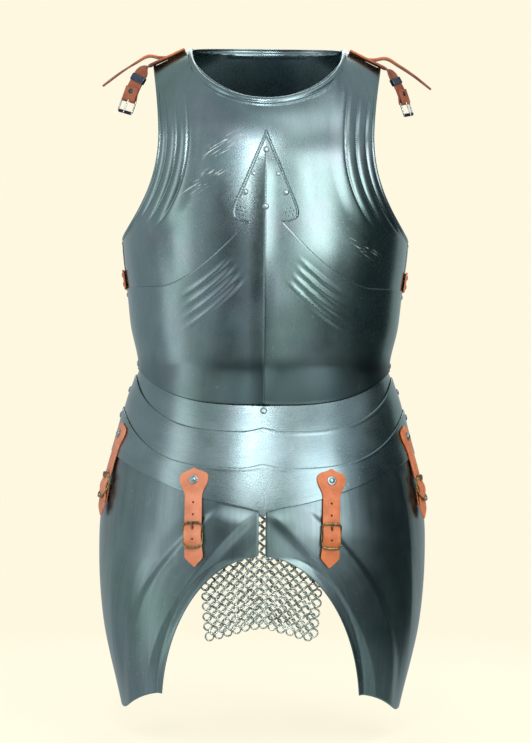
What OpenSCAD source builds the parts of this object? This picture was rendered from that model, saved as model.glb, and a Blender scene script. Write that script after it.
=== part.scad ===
// Cuirass: breast and back plates, fauld, culet, tassets and a mail apron.
// Millimetres, +Z up, the front of the wearer towards -Y, origin in the middle of the waist.
// Left and right are as they appear to someone who faces the front: left is towards -X.

/* [Torso] */
// Half width at the waist
waist_half_w = 161; // [152:1:170]
// Half width under the armpits
armpit_half_w = 184; // [178:1:194]
// Height of the armpits above the waist
armpit_z = 160; // [150:1:170]
// Height of the inner ends of the shoulders above the waist
shoulder_z = 409; // [398:1:420]
// Drop of the shoulders from their inner to their outer ends
shoulder_drop = 24; // [16:1:30]
// Half width of the shoulders
shoulder_half_w = 147.5; // [142:0.5:154]
// Half width of the breast between the armholes
armhole_half_w = 135.5; // [130:0.5:142]
// Depth of the chest in front of the side line
chest_depth = 149; // [142:1:158]
// Depth of the waist in front of the side line
waist_depth = 118; // [112:1:124]
// Depth of the shoulder blades behind the side line
blade_depth = 118; // [108:1:128]
// Depth of the back of the waist behind the side line
back_waist_depth = 80; // [72:1:90]
// Half width of the neck opening
neck_half_w = 98; // [92:1:104]
// Height of the neck edge's front above the waist
neck_z = 335; // [325:1:345]
// Depth of the neck edge's back behind the side line
back_neck_depth = 58; // [48:1:66]
// Rise of the neck edge's back above its ends
back_neck_rise = 10; // [0:1:14]
// Thickness of the breast and back plates
plate_t = 1.5; // [1.2:0.1:1.8]
// Clearance between plates that overlap
plate_gap = 0.5; // [0.4:0.05:0.6]

/* [Breast details] */
// Height of the rolled bead along the neck
bead_h = 2.6; // [1.5:0.1:4]
// Width of the rolled bead along the neck
bead_w = 7; // [5:0.5:10]
// Height of the armhole flutes
flute_h = 2; // [1:0.1:3]
// Height of the turned armhole rim
rim_h = 2.2; // [1:0.1:3.5]
// Height of the plackart's notches beside the finial
notch_z = 177; // [170:1:184]
// Half distance between the two notches
notch_half_w = 21; // [16:1:26]
// Height of the plackart's top edge at the sides
plackart_side_z = 97; // [90:1:106]
// Height of the finial's tip
finial_tip_z = 292; // [280:1:300]
// Half width of the finial's barbs
finial_half_w = 41; // [34:1:46]
// Height of the medial keel
keel_h = 2.5; // [1.5:0.1:4]
// Height of the fan ridges below the plackart's top edge
fan_h = 0.9; // [0.4:0.1:1.2]
// Depth of the lower breast edge below the waist, at the front
breast_drop = 50; // [44:1:56]
// Depth of the lower breast edge below the waist, at the sides
breast_side_drop = 6; // [2:1:10]
// How far the upper plate reaches down behind the plackart
breast_lap = 30; // [20:1:40]

/* [Fauld] */
// Thickness of the lames and tassets
lame_t = 1.2; // [1:0.1:1.5]
// Half width of the hips
hip_half_w = 209; // [203:1:216]
// Depth of the hips in front of the side line
hip_depth = 172; // [166:1:180]
// Depth of the culet behind the side line
culet_depth = 132; // [124:1:142]
// Depth of lame 2's top edge below the waist, at the front
lame2_drop = 79.5; // [76:0.5:84]
// Depth of lame 3's top edge below the waist, at the front
lame3_drop = 124.5; // [120:0.5:129]
// Depth of lame 3's bottom edge below the waist, at the front
fauld_drop = 178; // [174:1:184]
// Depth of the first pivot rivets below the waist
pivot1_drop = 34; // [31:1:37]
// Depth of the second pivot rivets below the waist
pivot2_drop = 67; // [64:1:70]
// Radius of a rivet's shank
shank_r = 2; // [1.5:0.1:2.2]
// Clearance around a shank that a lame turns on
pivot_gap = 0.6; // [0.5:0.05:0.8]

/* [Tassets] */
// Depth of the tassets' outer corners below the waist
foot_drop = 439; // [425:1:450]
// Half width across the tassets' outer corners
foot_half_w = 178; // [172:1:186]
// Depth of the front of the tassets at their lower end
foot_depth = 138; // [130:1:146]
// Half width of the gap between the tassets
gap_half_w = 4.8; // [4:0.1:7]
// Half width of the arch between the tassets
arch_half_w = 123; // [116:1:128]
// Height of the arch
arch_h = 195; // [185:1:202]
// Depth of the arch's centre below the waist
arch_drop = 430; // [424:1:436]
// Height of the creases pressed into the tassets
crease_h = 1.8; // [1:0.1:2.2]
// How far a tasset reaches up behind lame 3
tasset_lap = 7; // [5:1:9]

/* [Straps and buckles] */
// Width of the leather straps
strap_w = 21; // [18:1:24]
// Thickness of the leather straps
strap_t = 2.5; // [2:0.1:3]
// Width of a strap's head
head_w = 36; // [30:1:38]
// Distance between a front strap's middle and the centre line
front_strap_x = 84; // [78:1:90]
// Lean of the front straps: their tails hang nearer to the middle by this angle
front_strap_lean = 3; // [0:0.5:5]
// Thickness of the leather under the buckles
chape_t = 1.1; // [1:0.1:1.6]
// Radius of the buckle wire
wire_r = 1.2; // [1:0.1:1.5]
// Length of a tasset buckle between the middles of its outer bars
buckle_l = 28.4; // [25:0.2:31]
// Clearance between leather and metal
strap_gap = 0.3; // [0.25:0.05:0.5]
// Width of the shoulder straps
shoulder_strap_w = 19; // [16:1:20]
// Length of a shoulder buckle between the middles of its bars
shoulder_buckle_l = 16.5; // [14:0.5:18]

/* [Mail] */
// Half width of the mail apron
mail_half_w = 82; // [76:1:86]
// Length of the mail below its band, at the centre
mail_l = 175; // [165:1:185]
// Extra length of the mail at its corners
mail_corner = 19; // [5:1:25]
// Narrowing of the apron on each side, from its top to its foot
mail_taper = 14; // [0:1:18]
// Thickness of the mail
mail_t = 2.6; // [2:0.1:3.5]
// Rows of openings in the mail
mail_rows = 16; // [10:1:18]
// Openings in one row of the mail
mail_cols = 12; // [8:1:14]

/* [Hidden] */

steel = [0.47, 0.54, 0.55];
steel_dark = [0.38, 0.45, 0.46];
rivet_steel = [0.55, 0.6, 0.6];
leather = [0.8, 0.45, 0.28];
leather_dark = [0.55, 0.25, 0.15];
brass = [0.5, 0.42, 0.24];
nickel = [0.65, 0.65, 0.62];
mail_steel = [0.62, 0.66, 0.66];

// Shape of the cross sections: a superellipse with this exponent
section_n = 2.3;
section_e = 2 / section_n;
// Layers of the lames, measured outwards from the common surface to each outer face
plackart_off = plate_gap + plate_t;
lame1_off = -0.3;
lame2_off = plate_gap + lame_t;
lame3_off = 2 * (plate_gap + lame_t);
tasset_off = lame3_off - lame_t - plate_gap;
// Heights that the sections hang on
foot_z = -foot_drop;
hip_z = -215;
back_end_y = 3;
lame_end = 94;
culet_start = 97;
back_start = 90.4;
tasset_end = 93;

function clamp01(s) = min(1, max(0, s));
function smooth(s) = let (t = clamp01(s)) t * t * (3 - 2 * t);
function mix(a, b, s) = a + (b - a) * s;
function unit(v) = v / norm(v);
function flat2(rows) = [for (row = rows) each row];

// A smooth curve through knots [place, value], straight beyond its ends
function knot_before(k, z) = max([for (j = [0 : len(k) - 2]) if (j == 0 || k[j][0] <= z) j]);
function knot_slope(k, j) = let (a = max(0, j - 1), b = min(len(k) - 1, j + 1))
    (k[b][1] - k[a][1]) / (k[b][0] - k[a][0]);
function along(k, z) =
    z < k[0][0] ? k[0][1] + knot_slope(k, 0) * (z - k[0][0]) :
    z > k[len(k) - 1][0] ? k[len(k) - 1][1] + knot_slope(k, len(k) - 1) * (z - k[len(k) - 1][0]) :
    let (i = knot_before(k, z), h = k[i + 1][0] - k[i][0], s = (z - k[i][0]) / h)
    k[i][1] * (1 + 2 * s) * pow(1 - s, 2) + knot_slope(k, i) * h * s * pow(1 - s, 2)
    + k[i + 1][1] * s * s * (3 - 2 * s) + knot_slope(k, i + 1) * h * s * s * (s - 1);

// Half width of the body at each height
half_w_knots = [
    [foot_z, foot_half_w],
    [mix(foot_z, hip_z, 0.5), mix(foot_half_w, hip_half_w, 0.81)],
    [hip_z, hip_half_w],
    [0.63 * hip_z, mix(waist_half_w, hip_half_w, 0.79)],
    [0.395 * hip_z, mix(waist_half_w, hip_half_w, 0.51)],
    [0.21 * hip_z, mix(waist_half_w, hip_half_w, 0.3)],
    [0.093 * hip_z, mix(waist_half_w, hip_half_w, 0.115)],
    [0, waist_half_w],
    [0.3 * armpit_z, mix(waist_half_w, armpit_half_w, 0.435)],
    [0.53 * armpit_z, mix(waist_half_w, armpit_half_w, 0.62)],
    [armpit_z, armpit_half_w],
    [mix(armpit_z, shoulder_z, 0.4), armpit_half_w - 4],
    [shoulder_z, armpit_half_w - 14]];
function half_w(z) = along(half_w_knots, z);

// Squares of the front and back depths at each height
function sq(a) = a * a;
front_knots = [
    [foot_z, sq(foot_depth)],
    [mix(foot_z, hip_z, 0.5), sq(mix(foot_depth, hip_depth, 0.68))],
    [hip_z, sq(hip_depth)],
    [0.63 * hip_z, sq(mix(waist_depth, hip_depth, 0.78))],
    [0.395 * hip_z, sq(mix(waist_depth, hip_depth, 0.48))],
    [0.21 * hip_z, sq(mix(waist_depth, hip_depth, 0.18))],
    [0.093 * hip_z, sq(mix(waist_depth, hip_depth, 0.035))],
    [0, sq(waist_depth)],
    [0.25 * armpit_z, sq(mix(waist_depth, chest_depth, 0.3))],
    [0.56 * armpit_z, sq(mix(waist_depth, chest_depth, 0.74))],
    [0.9 * armpit_z, sq(chest_depth)],
    [1.25 * armpit_z, sq(chest_depth)],
    [1.62 * armpit_z, sq(0.95 * chest_depth)],
    [shoulder_z - 109, sq(0.86 * chest_depth)],
    [shoulder_z - 71, sq(0.7 * chest_depth)],
    [shoulder_z, sq(back_end_y)]];
back_top_z = shoulder_z - 69;
back_knots = [
    [hip_z, sq(culet_depth)],
    [0.395 * hip_z, sq(mix(back_waist_depth, culet_depth, 0.62))],
    [0.21 * hip_z, sq(mix(back_waist_depth, culet_depth, 0.26))],
    [0, sq(back_waist_depth)],
    [0.4 * armpit_z, sq(mix(back_waist_depth, blade_depth, 0.15))],
    [armpit_z, sq(mix(back_waist_depth, blade_depth, 0.75))],
    [1.5 * armpit_z, sq(blade_depth)],
    [0.5 * (1.5 * armpit_z + back_top_z), sq(0.96 * blade_depth)],
    [back_top_z, sq(0.86 * blade_depth)]];

// Lift that lets the outer shoulders end lower than the inner ones
function slant(x, z) = shoulder_drop
    * clamp01((abs(x) - neck_half_w) / (shoulder_half_w - neck_half_w))
    * smooth((z - (shoulder_z - 130)) / 100);
function front_sq(x, z) = max(sq(back_end_y) / 2, along(front_knots, z + slant(x, z)));
function back_sq(x, z) = let (
        zs = z + slant(x, z),
        rim = back_neck_depth * sqrt(max(0, 1 - sq(x / neck_half_w))) + back_end_y)
    zs <= back_top_z ? along(back_knots, zs) :
    max(sq(back_end_y) / 2, mix(sq(0.86 * blade_depth), sq(rim),
        clamp01((zs - back_top_z) / (shoulder_z - back_top_z))));

// The common surface: angle 0 is the front, 90 the wearer's left side, 180 the back
function skin(a, z) = let (
        x = half_w(z) * sign(sin(a)) * pow(abs(sin(a)), section_e),
        d2 = cos(a) >= 0 ? front_sq(x, z) : back_sq(x, z))
    [x, -sign(cos(a)) * sqrt(d2) * pow(abs(cos(a)), section_e), z];
function level(p, z, front) = pow(abs(p.x) / half_w(z), section_n)
    + pow(sq(p.y) / (front ? front_sq(p.x, z) : back_sq(p.x, z)), section_n / 2);
function normal_at(a, p) = let (
        z = p.z, h = 0.02, front = cos(a) >= 0,
        d2 = front ? front_sq(p.x, z) : back_sq(p.x, z),
        gx = section_n * pow(abs(p.x), section_n - 1) / pow(half_w(z), section_n) * sign(p.x),
        gy = section_n * pow(abs(p.y), section_n - 1) / pow(d2, section_n / 2) * sign(p.y),
        gz = (level(p, z + h, front) - level(p, z - h, front)) / (2 * h))
    unit([gx, gy, gz]);
function on_skin(a, z, off) = let (p = skin(a, z)) p + off * normal_at(a, p);
function angle_at(x, z) = asin(pow(clamp01(abs(x) / half_w(z)), 1 / section_e));
function width_share(a) = abs(a) > 90 ? 1 : pow(abs(sin(a)), section_e);

// A plate from two grids of points; keep(r, c) says which of the grid's cells are metal
module plate(outer, inner, keep = function (r, c) true) {
    nr = len(outer);
    nc = len(outer[0]);
    on = function (r, c) r >= 0 && r < nr - 1 && c >= 0 && c < nc - 1 && keep(r, c);
    o = function (r, c) r * nc + c;
    i = function (r, c) nr * nc + r * nc + c;
    quad = function (p, q, s, t) [[p, q, s], [p, s, t]];
    faces = [for (r = [0 : nr - 2], c = [0 : nc - 2]) if (on(r, c)) each concat(
        quad(o(r, c), o(r + 1, c), o(r + 1, c + 1), o(r, c + 1)),
        quad(i(r, c + 1), i(r + 1, c + 1), i(r + 1, c), i(r, c)),
        on(r - 1, c) ? [] : quad(o(r, c), o(r, c + 1), i(r, c + 1), i(r, c)),
        on(r + 1, c) ? [] : quad(o(r + 1, c + 1), o(r + 1, c), i(r + 1, c), i(r + 1, c + 1)),
        on(r, c - 1) ? [] : quad(o(r + 1, c), o(r, c), i(r, c), i(r + 1, c)),
        on(r, c + 1) ? [] : quad(o(r, c + 1), o(r + 1, c + 1), i(r + 1, c + 1), i(r, c + 1)))];
    polyhedron(points = concat(flat2(outer), flat2(inner)), faces = faces, convexity = 10);
}

// Armhole edge: half width at each height, and the angle where the plate ends
function edge_half_w(z) = z <= armpit_z ? half_w(z) : let (
        s = clamp01((z - armpit_z) / 127),
        up = clamp01((z - armpit_z - 127) / (shoulder_z - shoulder_drop - armpit_z - 127)))
    mix(armhole_half_w, half_w(z), pow(1 - s, 2.1))
    + (shoulder_half_w - armhole_half_w) * pow(up, 1.5);
function edge_angle(z) = z <= armpit_z ? 90 : angle_at(edge_half_w(z), z);

// Top edge of a plate along the neck and shoulder, for the share u of the edge angle
top_half_w = armpit_half_w - 14;
top_angle = angle_at(shoulder_half_w, shoulder_z);
neck_u = angle_at(neck_half_w, shoulder_z) / top_angle;
// The flutes' field begins at this distance outside the neck's corner
flute_margin = 7;
flute_u = angle_at(neck_half_w + flute_margin, shoulder_z) / top_angle;
function top_x(u) = top_half_w * pow(sin(abs(u) * top_angle), section_e);
function top_z(u, low_z) = abs(u) <= neck_u
    ? shoulder_z - (shoulder_z - low_z) * sqrt(max(0, 1 - sq(top_x(u) / neck_half_w)))
    : shoulder_z - shoulder_drop * (top_x(u) - neck_half_w) / (shoulder_half_w - neck_half_w);

// Columns of the upper plates: to the neck's corner, then through the flutes to the rim
neck_cols = [for (s = [0.2, 0.4, 0.58, 0.74, 0.87, 0.96, 1]) s * neck_u];
flute_cols = [for (s = [0, 0.09, 0.24, 0.395, 0.5475, 0.7, 0.85, 0.92, 0.96, 1]) mix(flute_u, 1, s)];
half_cols = concat(neck_cols, flute_cols);
upper_cols = concat([for (k = [len(half_cols) - 1 : -1 : 0]) -half_cols[k]], [0], half_cols);
upper_rows = 21;
// Height of row r on a column between two heights, with the bead's rows at the top
function row_z(r, rows, low, high) = r > rows - 3 ? high - bead_w * (rows - r) / 3
    : high - bead_w - (high - bead_w - low) * pow(1 - r / (rows - 3), 1.4);

function bead(r, rows, u) = abs(u) <= neck_u && r > rows - 3 && r < rows ? bead_h : 0;
function rim(u, z) = let (s = (abs(u) - flute_u) / (1 - flute_u))
    s > 0.93 && s < 0.99 ? rim_h * smooth((z - armpit_z + 8) / 16) : 0;
function flutes(u, z) = let (s = (abs(u) - flute_u) / (1 - flute_u))
    s < 0.09 ? 0 : flute_h * (0.5 - 0.5 * cos(360 * (s - 0.09) / 0.305))
        * smooth((z - armpit_z - 2) / 30) * (1 - smooth((z - shoulder_z + 85) / 55));

// Top edge of the plackart beside the finial, at the distance x from the centre line
function plackart_top(x) = let (s = clamp01((abs(x) - notch_half_w) / (armpit_half_w - 46 - notch_half_w)))
    mix(plackart_side_z, notch_z, pow(1 - s, 1.6));

function upper_point(r, u, off) = let (
        x = armpit_half_w * width_share(90 * u),
        z = row_z(r, upper_rows, plackart_top(x) - breast_lap, top_z(u, neck_z)))
    on_skin(u * edge_angle(z), z, flutes(u, z) + off + (off == 0 ? bead(r, upper_rows, u) + rim(u, z) : 0));

module breastplate_upper() {
    color(steel) plate(
        [for (r = [0 : upper_rows]) [for (u = upper_cols) upper_point(r, u, 0)]],
        [for (r = [0 : upper_rows]) [for (u = upper_cols) upper_point(r, u, -plate_t)]]);
}

// The plackart: a lower field, and a strip of columns that goes on up as the finial
notch_angle = angle_at(notch_half_w, notch_z);
strip_cols = 3;
field_cols = 15;
function plackart_angle(k) = let (s = abs(k)) sign(k) * (s <= strip_cols ? notch_angle * s / strip_cols
    : mix(notch_angle, 90, pow((s - strip_cols) / (field_cols - strip_cols), 1.05)));
// Depths of the field's rows below the top edge: one on each fan ridge and one between
fan_top = 24;
fan_step = 14;
fan_count = 4;
field_depths = concat([0, 9], [for (k = [-1 : 2 * fan_count - 1]) fan_top + fan_step * k / 2]);
low_rows = 7;
field_rows = low_rows + len(field_depths) - 1;
barb_z = notch_z + 17;
finial_rows = concat(
    [[notch_z + 1.2, mix(notch_half_w, finial_half_w, 0.55)],
     [notch_z + 4, mix(notch_half_w, finial_half_w, 0.9)], [barb_z, finial_half_w]],
    [for (s = [0.88, 0.74, 0.6, 0.46, 0.32, 0.18, 0.06])
        [mix(finial_tip_z, barb_z, s), finial_half_w * pow(s, 0.8)]],
    [[finial_tip_z, 1]]);
function breast_bottom(a) = -breast_drop + (breast_drop - breast_side_drop) * pow(width_share(a), 3);
function keel(x, z) = keel_h * pow(clamp01(1 - abs(x) / 14), 1.4)
    * smooth((finial_tip_z - 10 - z) / 40);
// Ridges parallel to the top edge, at the depth d below it; each lower one starts further in
function fan(x, d) = let (n = round((d - fan_top) / fan_step), start = 48 - 5.6 * n)
    n < 0 || n >= fan_count ? 0 : fan_h * (1 - 2 * abs((d - fan_top) / fan_step - n))
        * smooth((abs(x) - start + 6) / 12) * (1 - smooth((abs(x) - 72) / 34));
function field_z(r, low, high) = r >= low_rows ? high - field_depths[field_rows - r]
    : mix(low, high - field_depths[len(field_depths) - 1], r / low_rows);
function plackart_point(r, k, off) = r <= field_rows
    ? let (
        a = plackart_angle(k),
        x = armpit_half_w * width_share(a),
        z = field_z(r, breast_bottom(a), plackart_top(x)),
        p = skin(a, z))
        on_skin(a, z, plackart_off + keel(p.x, z) + fan(p.x, plackart_top(x) - z) + off)
    : let (
        row = finial_rows[r - field_rows - 1],
        x = row[1] * max(-1, min(1, k / strip_cols)),
        a = sign(k) * angle_at(x, row[0]))
        on_skin(a, row[0], plackart_off + keel(x, row[0]) + off);

module plackart() {
    rows = [0 : field_rows + len(finial_rows)];
    cols = [-field_cols : field_cols];
    color(steel) plate(
        [for (r = rows) [for (k = cols) plackart_point(r, k, 0)]],
        [for (r = rows) [for (k = cols) plackart_point(r, k, -plate_t)]],
        function (r, c) r < field_rows || abs(c - field_cols + 0.5) < strip_cols);
}

// The back plate mirrors the armholes; its neck edge rises a little in the middle
back_rows = 21;
back_low_z = -breast_side_drop;
function back_point(r, u, off) = let (
        low = back_low_z - 24 * (1 - width_share(90 * u)),
        z = row_z(r, back_rows, low, top_z(u, shoulder_z + back_neck_rise)),
        a = 180 - u * edge_angle(z) * (180 - back_start) / 90)
    on_skin(a, z, plackart_off + off + (off == 0 ? 0.7 * bead(r, back_rows, u) + rim(u, z) : 0));

module backplate() {
    cols = [for (k = [len(upper_cols) - 1 : -1 : 0]) upper_cols[k]];
    color(steel) plate(
        [for (r = [0 : back_rows]) [for (u = cols) back_point(r, u, 0)]],
        [for (r = [0 : back_rows]) [for (u = cols) back_point(r, u, -plate_t)]]);
}

// Edges of the lames at the angle a: at the front they dip and carry a small cusp
cusp_dip = 4;
function cusp(a) = (cusp_dip + 1) * clamp01(1 - abs(a) / 4);
// Heights of the lames' top edges above the pivots, where they end at the sides
lame2_side_z = 19 - pivot1_drop;
lame3_side_z = 10 - pivot2_drop;
function rising(a, front_z, side_z, power) = mix(front_z, side_z, pow(width_share(a), power));
function lame2_top(a) = rising(a, -lame2_drop - cusp_dip, lame2_side_z, 3.7) + cusp(a);
function lame3_top(a) = rising(a, -lame3_drop - cusp_dip, lame3_side_z, 3.7) + cusp(a);
function fauld_bottom(a) = rising(a, -fauld_drop, -45 - pivot2_drop, 1.6) - 0.8 * cusp(a);
function lame1_top(a) = rising(a, 24 - breast_drop, 16 - breast_side_drop, 3);
function lame1_bottom(a) = lame2_top(a) - 18 - 17 * pow(width_share(a), 3);
lame_overlap = 6;
function lame2_bottom(a) = lame3_top(a) - lame_overlap - 13 * pow(width_share(a), 3);

lame_angles = [for (s = [-1 : 1 / 13 : 1.001]) s * lame_end];
module lame(top, bottom, off, angles = lame_angles, rows = 7) {
    grid = function (d) [for (r = [0 : rows])
        [for (a = angles) on_skin(a, mix(bottom(a), top(a), r / rows), off + d)]];
    plate(grid(0), grid(-lame_t));
}

// Places its children on the common surface, with their Z along the normal
module on_normal(a, z, off) {
    p = skin(a, z);
    n = normal_at(a, p);
    t = unit(cross([0, 0, 1], n));
    u = cross(n, t);
    q = p + off * n;
    multmatrix([[t.x, u.x, n.x, q.x], [t.y, u.y, n.y, q.y], [t.z, u.z, n.z, q.z], [0, 0, 0, 1]])
        children();
}

// A rivet: its head stands on z = 0, its shank reaches down to -grip
module rivet(head_r, grip, tail = true, head_h = 2) {
    rotate_extrude($fn = 32)
        polygon(concat([[0, 0], [head_r, 0]], [for (t = [15 : 15 : 75]) [head_r * cos(t), head_h * sin(t)]],
            [[0, head_h]]));
    translate([0, 0, -grip]) cylinder(h = grip, r = shank_r, $fn = 24);
    if (tail) translate([0, 0, -grip - 0.8]) cylinder(h = 0.8, r = shank_r + 1, $fn = 24);
}
module pivot_holes(drop, angle = 90) {
    for (s = [-1, 1]) on_normal(s * angle, -drop, -5) cylinder(h = 14, r = shank_r + pivot_gap, $fn = 32);
}
// Rivets whose shank spans from an inner lame to the lame that turns on them
turning_gap = 0.4;
module pivot_rivets(drop, inner_off, outer_off, angle = 90) {
    for (s = [-1, 1]) on_normal(s * angle, -drop, outer_off + turning_gap)
        rivet(4.4, outer_off + turning_gap - inner_off + lame_t);
}

module fauld_lame_1() {
    color(steel) lame(function (a) lame1_top(a), function (a) lame1_bottom(a), lame1_off);
}
module fauld_lame_2() {
    color(steel) difference() {
        lame(function (a) lame2_top(a), function (a) lame2_bottom(a), lame2_off);
        pivot_holes(pivot1_drop);
    }
}
module fauld_lame_3() {
    color(steel) difference() {
        lame(function (a) lame3_top(a), function (a) fauld_bottom(a), lame3_off);
        pivot_holes(pivot2_drop);
    }
}
module fauld_rivets_12() { color(rivet_steel) pivot_rivets(pivot1_drop, lame1_off, lame2_off); }
module fauld_rivets_23() { color(rivet_steel) pivot_rivets(pivot2_drop, lame2_off, lame3_off); }

// The culet: three lames like the fauld's, with straighter edges
culet_pivot = 101;
culet_angles = [for (s = [0 : 1 / 20 : 1.001]) mix(culet_start, 360 - culet_start, s)];
function back_share(a) = pow(abs(sin(a)), section_e);
function culet2_top(a) = -62 + 40 * pow(back_share(a), 4);
function culet3_top(a) = -98 + 43 * pow(back_share(a), 4);
function culet_bottom(a) = -142 + 36 * pow(back_share(a), 2.2);
function culet1_top(a) = mix(-10, 6, pow(back_share(a), 3));
culet_lap = 14;
function lapped(top, a) = top - culet_lap * (1 + pow(back_share(a), 3));
module culet_lame_1() {
    color(steel) lame(function (a) culet1_top(a),
        function (a) lapped(culet2_top(a), a), lame1_off, culet_angles, 6);
}
module culet_lame_2() {
    color(steel) difference() {
        lame(function (a) culet2_top(a), function (a) lapped(culet3_top(a), a),
            lame2_off, culet_angles, 6);
        pivot_holes(pivot1_drop, culet_pivot);
    }
}
module culet_lame_3() {
    color(steel) difference() {
        lame(function (a) culet3_top(a), function (a) culet_bottom(a), lame3_off, culet_angles, 6);
        pivot_holes(pivot2_drop, culet_pivot);
    }
}
module culet_rivets_12() { color(rivet_steel) pivot_rivets(pivot1_drop, lame1_off, lame2_off, culet_pivot); }
module culet_rivets_23() { color(rivet_steel) pivot_rivets(pivot2_drop, lame2_off, lame3_off, culet_pivot); }
// From the breast or back plate's outer face to lame 1's inner face
waist_grip = plackart_off - lame1_off + lame_t;
module culet_waist_rivets() {
    color(rivet_steel) for (a = [culet_pivot, 140, 180, 220, 360 - culet_pivot])
        on_normal(a, -2 - (a > 120 && a < 240 ? 8 : 0), plackart_off) rivet(4.2, waist_grip);
}
module waist_rivets() {
    color(rivet_steel) {
        for (s = [-1, 1]) on_normal(s * 84, 0, plackart_off) rivet(4.2, waist_grip);
        on_normal(0.01, -breast_drop - 7, lame1_off) rivet(4.4, lame_t);
    }
}
module plackart_rivets() {
    color(rivet_steel) {
        for (p = [[0, 266, 3.9], [0, 195, 4.1], [-25, 213, 3.8], [25, 213, 3.8]])
            on_normal(p.x == 0 ? 0.01 : sign(p.x) * angle_at(p.x, p.y), p.y, plackart_off + keel(p.x, p.y))
                rivet(p.z, 2 * plate_t + plate_gap + keel(p.x, p.y), false);
        for (s = [-1, 1], p = [[15, 236, 2.8], [8, 254, 1.9]])
            on_normal(s * angle_at(p.x, p.y), p.y, plackart_off)
                rivet(p.z, 2 * plate_t + plate_gap, false, 1.2);
        for (s = [-1, 1]) on_normal(s * 87, plackart_side_z - 8, plackart_off)
            rivet(2.8, 2 * plate_t + plate_gap, false, 1.2);
    }
}

// A tasset: q runs from its inner edge to its outer, v from its top to its foot
function arch_x(z) = let (s = (z + arch_drop) / arch_h)
    s >= 1 ? gap_half_w : max(gap_half_w, arch_half_w * sqrt(max(0, 1 - sq(max(0, s)))));
function tasset_bottom(q) = -foot_drop + 28 * (1 - smooth(q / 0.7));
tasset_v = [0, 0.08, 0.17, 0.24, 0.275, 0.295, 0.33, 0.38, 0.45, 0.53, 0.62, 0.72, 0.82, 0.91, 1];
tasset_q = [0, 0.035, 0.08, 0.14, 0.2, 0.26, 0.32, 0.38, 0.44, 0.5, 0.57, 0.65, 0.73, 0.81, 0.89, 1];
function crease(x, at, w) = clamp01(1 - abs(x - at) / w);
function crease_a(z) = let (s = clamp01((-174 - z) / 140)) 48 + 102 * (1 - pow(1 - s, 1.5));
function crease_b(z) = let (s = clamp01((-183 - z) / 237)) 11.5 + 131 * (1 - sq(1 - s));
function tasset_relief(x, z, low) = crease_h * smooth((low - 4 - z) / 22)
    * max(crease(x, crease_a(z), 20) * (1 - smooth((-290 - z) / 40)), crease(x, crease_b(z), 18));
function tasset_point(v, q, off) = let (
        a0 = angle_at(gap_half_w, hip_z),
        a1 = mix(a0, tasset_end, q),
        low = fauld_bottom(a1),
        z = mix(low + tasset_lap, tasset_bottom(q), v),
        a = mix(angle_at(arch_x(z), z), tasset_end, q),
        p = skin(a, z),
        turn = flange_h * sq(clamp01(1 - q / 0.08)) * smooth((arch_h - arch_drop - z) / 12))
    on_skin(a, z, tasset_off + tasset_relief(p.x, z, low) + turn + off);
flange_h = 3;
module tasset() {
    color(steel_dark) plate(
        [for (k = [len(tasset_v) - 1 : -1 : 0]) [for (q = tasset_q) tasset_point(tasset_v[k], q, 0)]],
        [for (k = [len(tasset_v) - 1 : -1 : 0]) [for (q = tasset_q) tasset_point(tasset_v[k], q, -lame_t)]]);
}
module tasset_left() { mirror([1, 0, 0]) tasset(); }
module tasset_right() { tasset(); }

// The leather band inside lame 3 that carries the mail, just below lame 2
band_h = 13.2;
band_t = 1.6;
band_clear = 2.3;
band_top_z = -lame3_drop - cusp_dip - lame_overlap - band_clear;
band_low_z = band_top_z - band_h;

// Tasset straps. Their frame: X outwards and level, Y up, Z along the plate
front_strap_angle = angle_at(front_strap_x, band_low_z);
hip_strap_angle = 72;
// Each strap: angle, heights of its head's top, rivet, buckle's centre bar and tail, leather behind
// it, lean
tail_l = 39;
function strap_of(a, rivet_z, hang, backing, lean) = let (bar_z = fauld_bottom(a) - hang)
    [a, rivet_z + 15, rivet_z, bar_z, bar_z - tail_l, backing, lean];
strap_front = strap_of(front_strap_angle, band_low_z + band_h / 2, 47.7, band_t + plate_gap,
    front_strap_lean);
strap_hip = strap_of(hip_strap_angle, lame2_bottom(hip_strap_angle) - 6, 37.3, 0, 0);
slot_l = 0.52 * buckle_l;
slot_w = 5.2;
function strap_out(a) = let (n = normal_at(a, skin(a, -150))) unit([n.x, n.y, 0]);
function out_at(a, z, off) = (on_skin(a, z, off) - skin(a, -150)) * strap_out(a);
loop_r = wire_r + 0.15 + chape_t;
heel_off = tasset_off + crease_h + strap_gap + loop_r;
module strap_frame(s) {
    p = skin(s[0], -150);
    x = strap_out(s[0]);
    z = cross(x, [0, 0, 1]);
    multmatrix([[x.x, 0, z.x, p.x], [x.y, 0, z.y, p.y], [0, 1, 0, 0], [0, 0, 0, 1]])
        translate([0, s[2], 0]) rotate([-s[6], 0, 0]) translate([0, -s[2], 0]) children();
}
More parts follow.
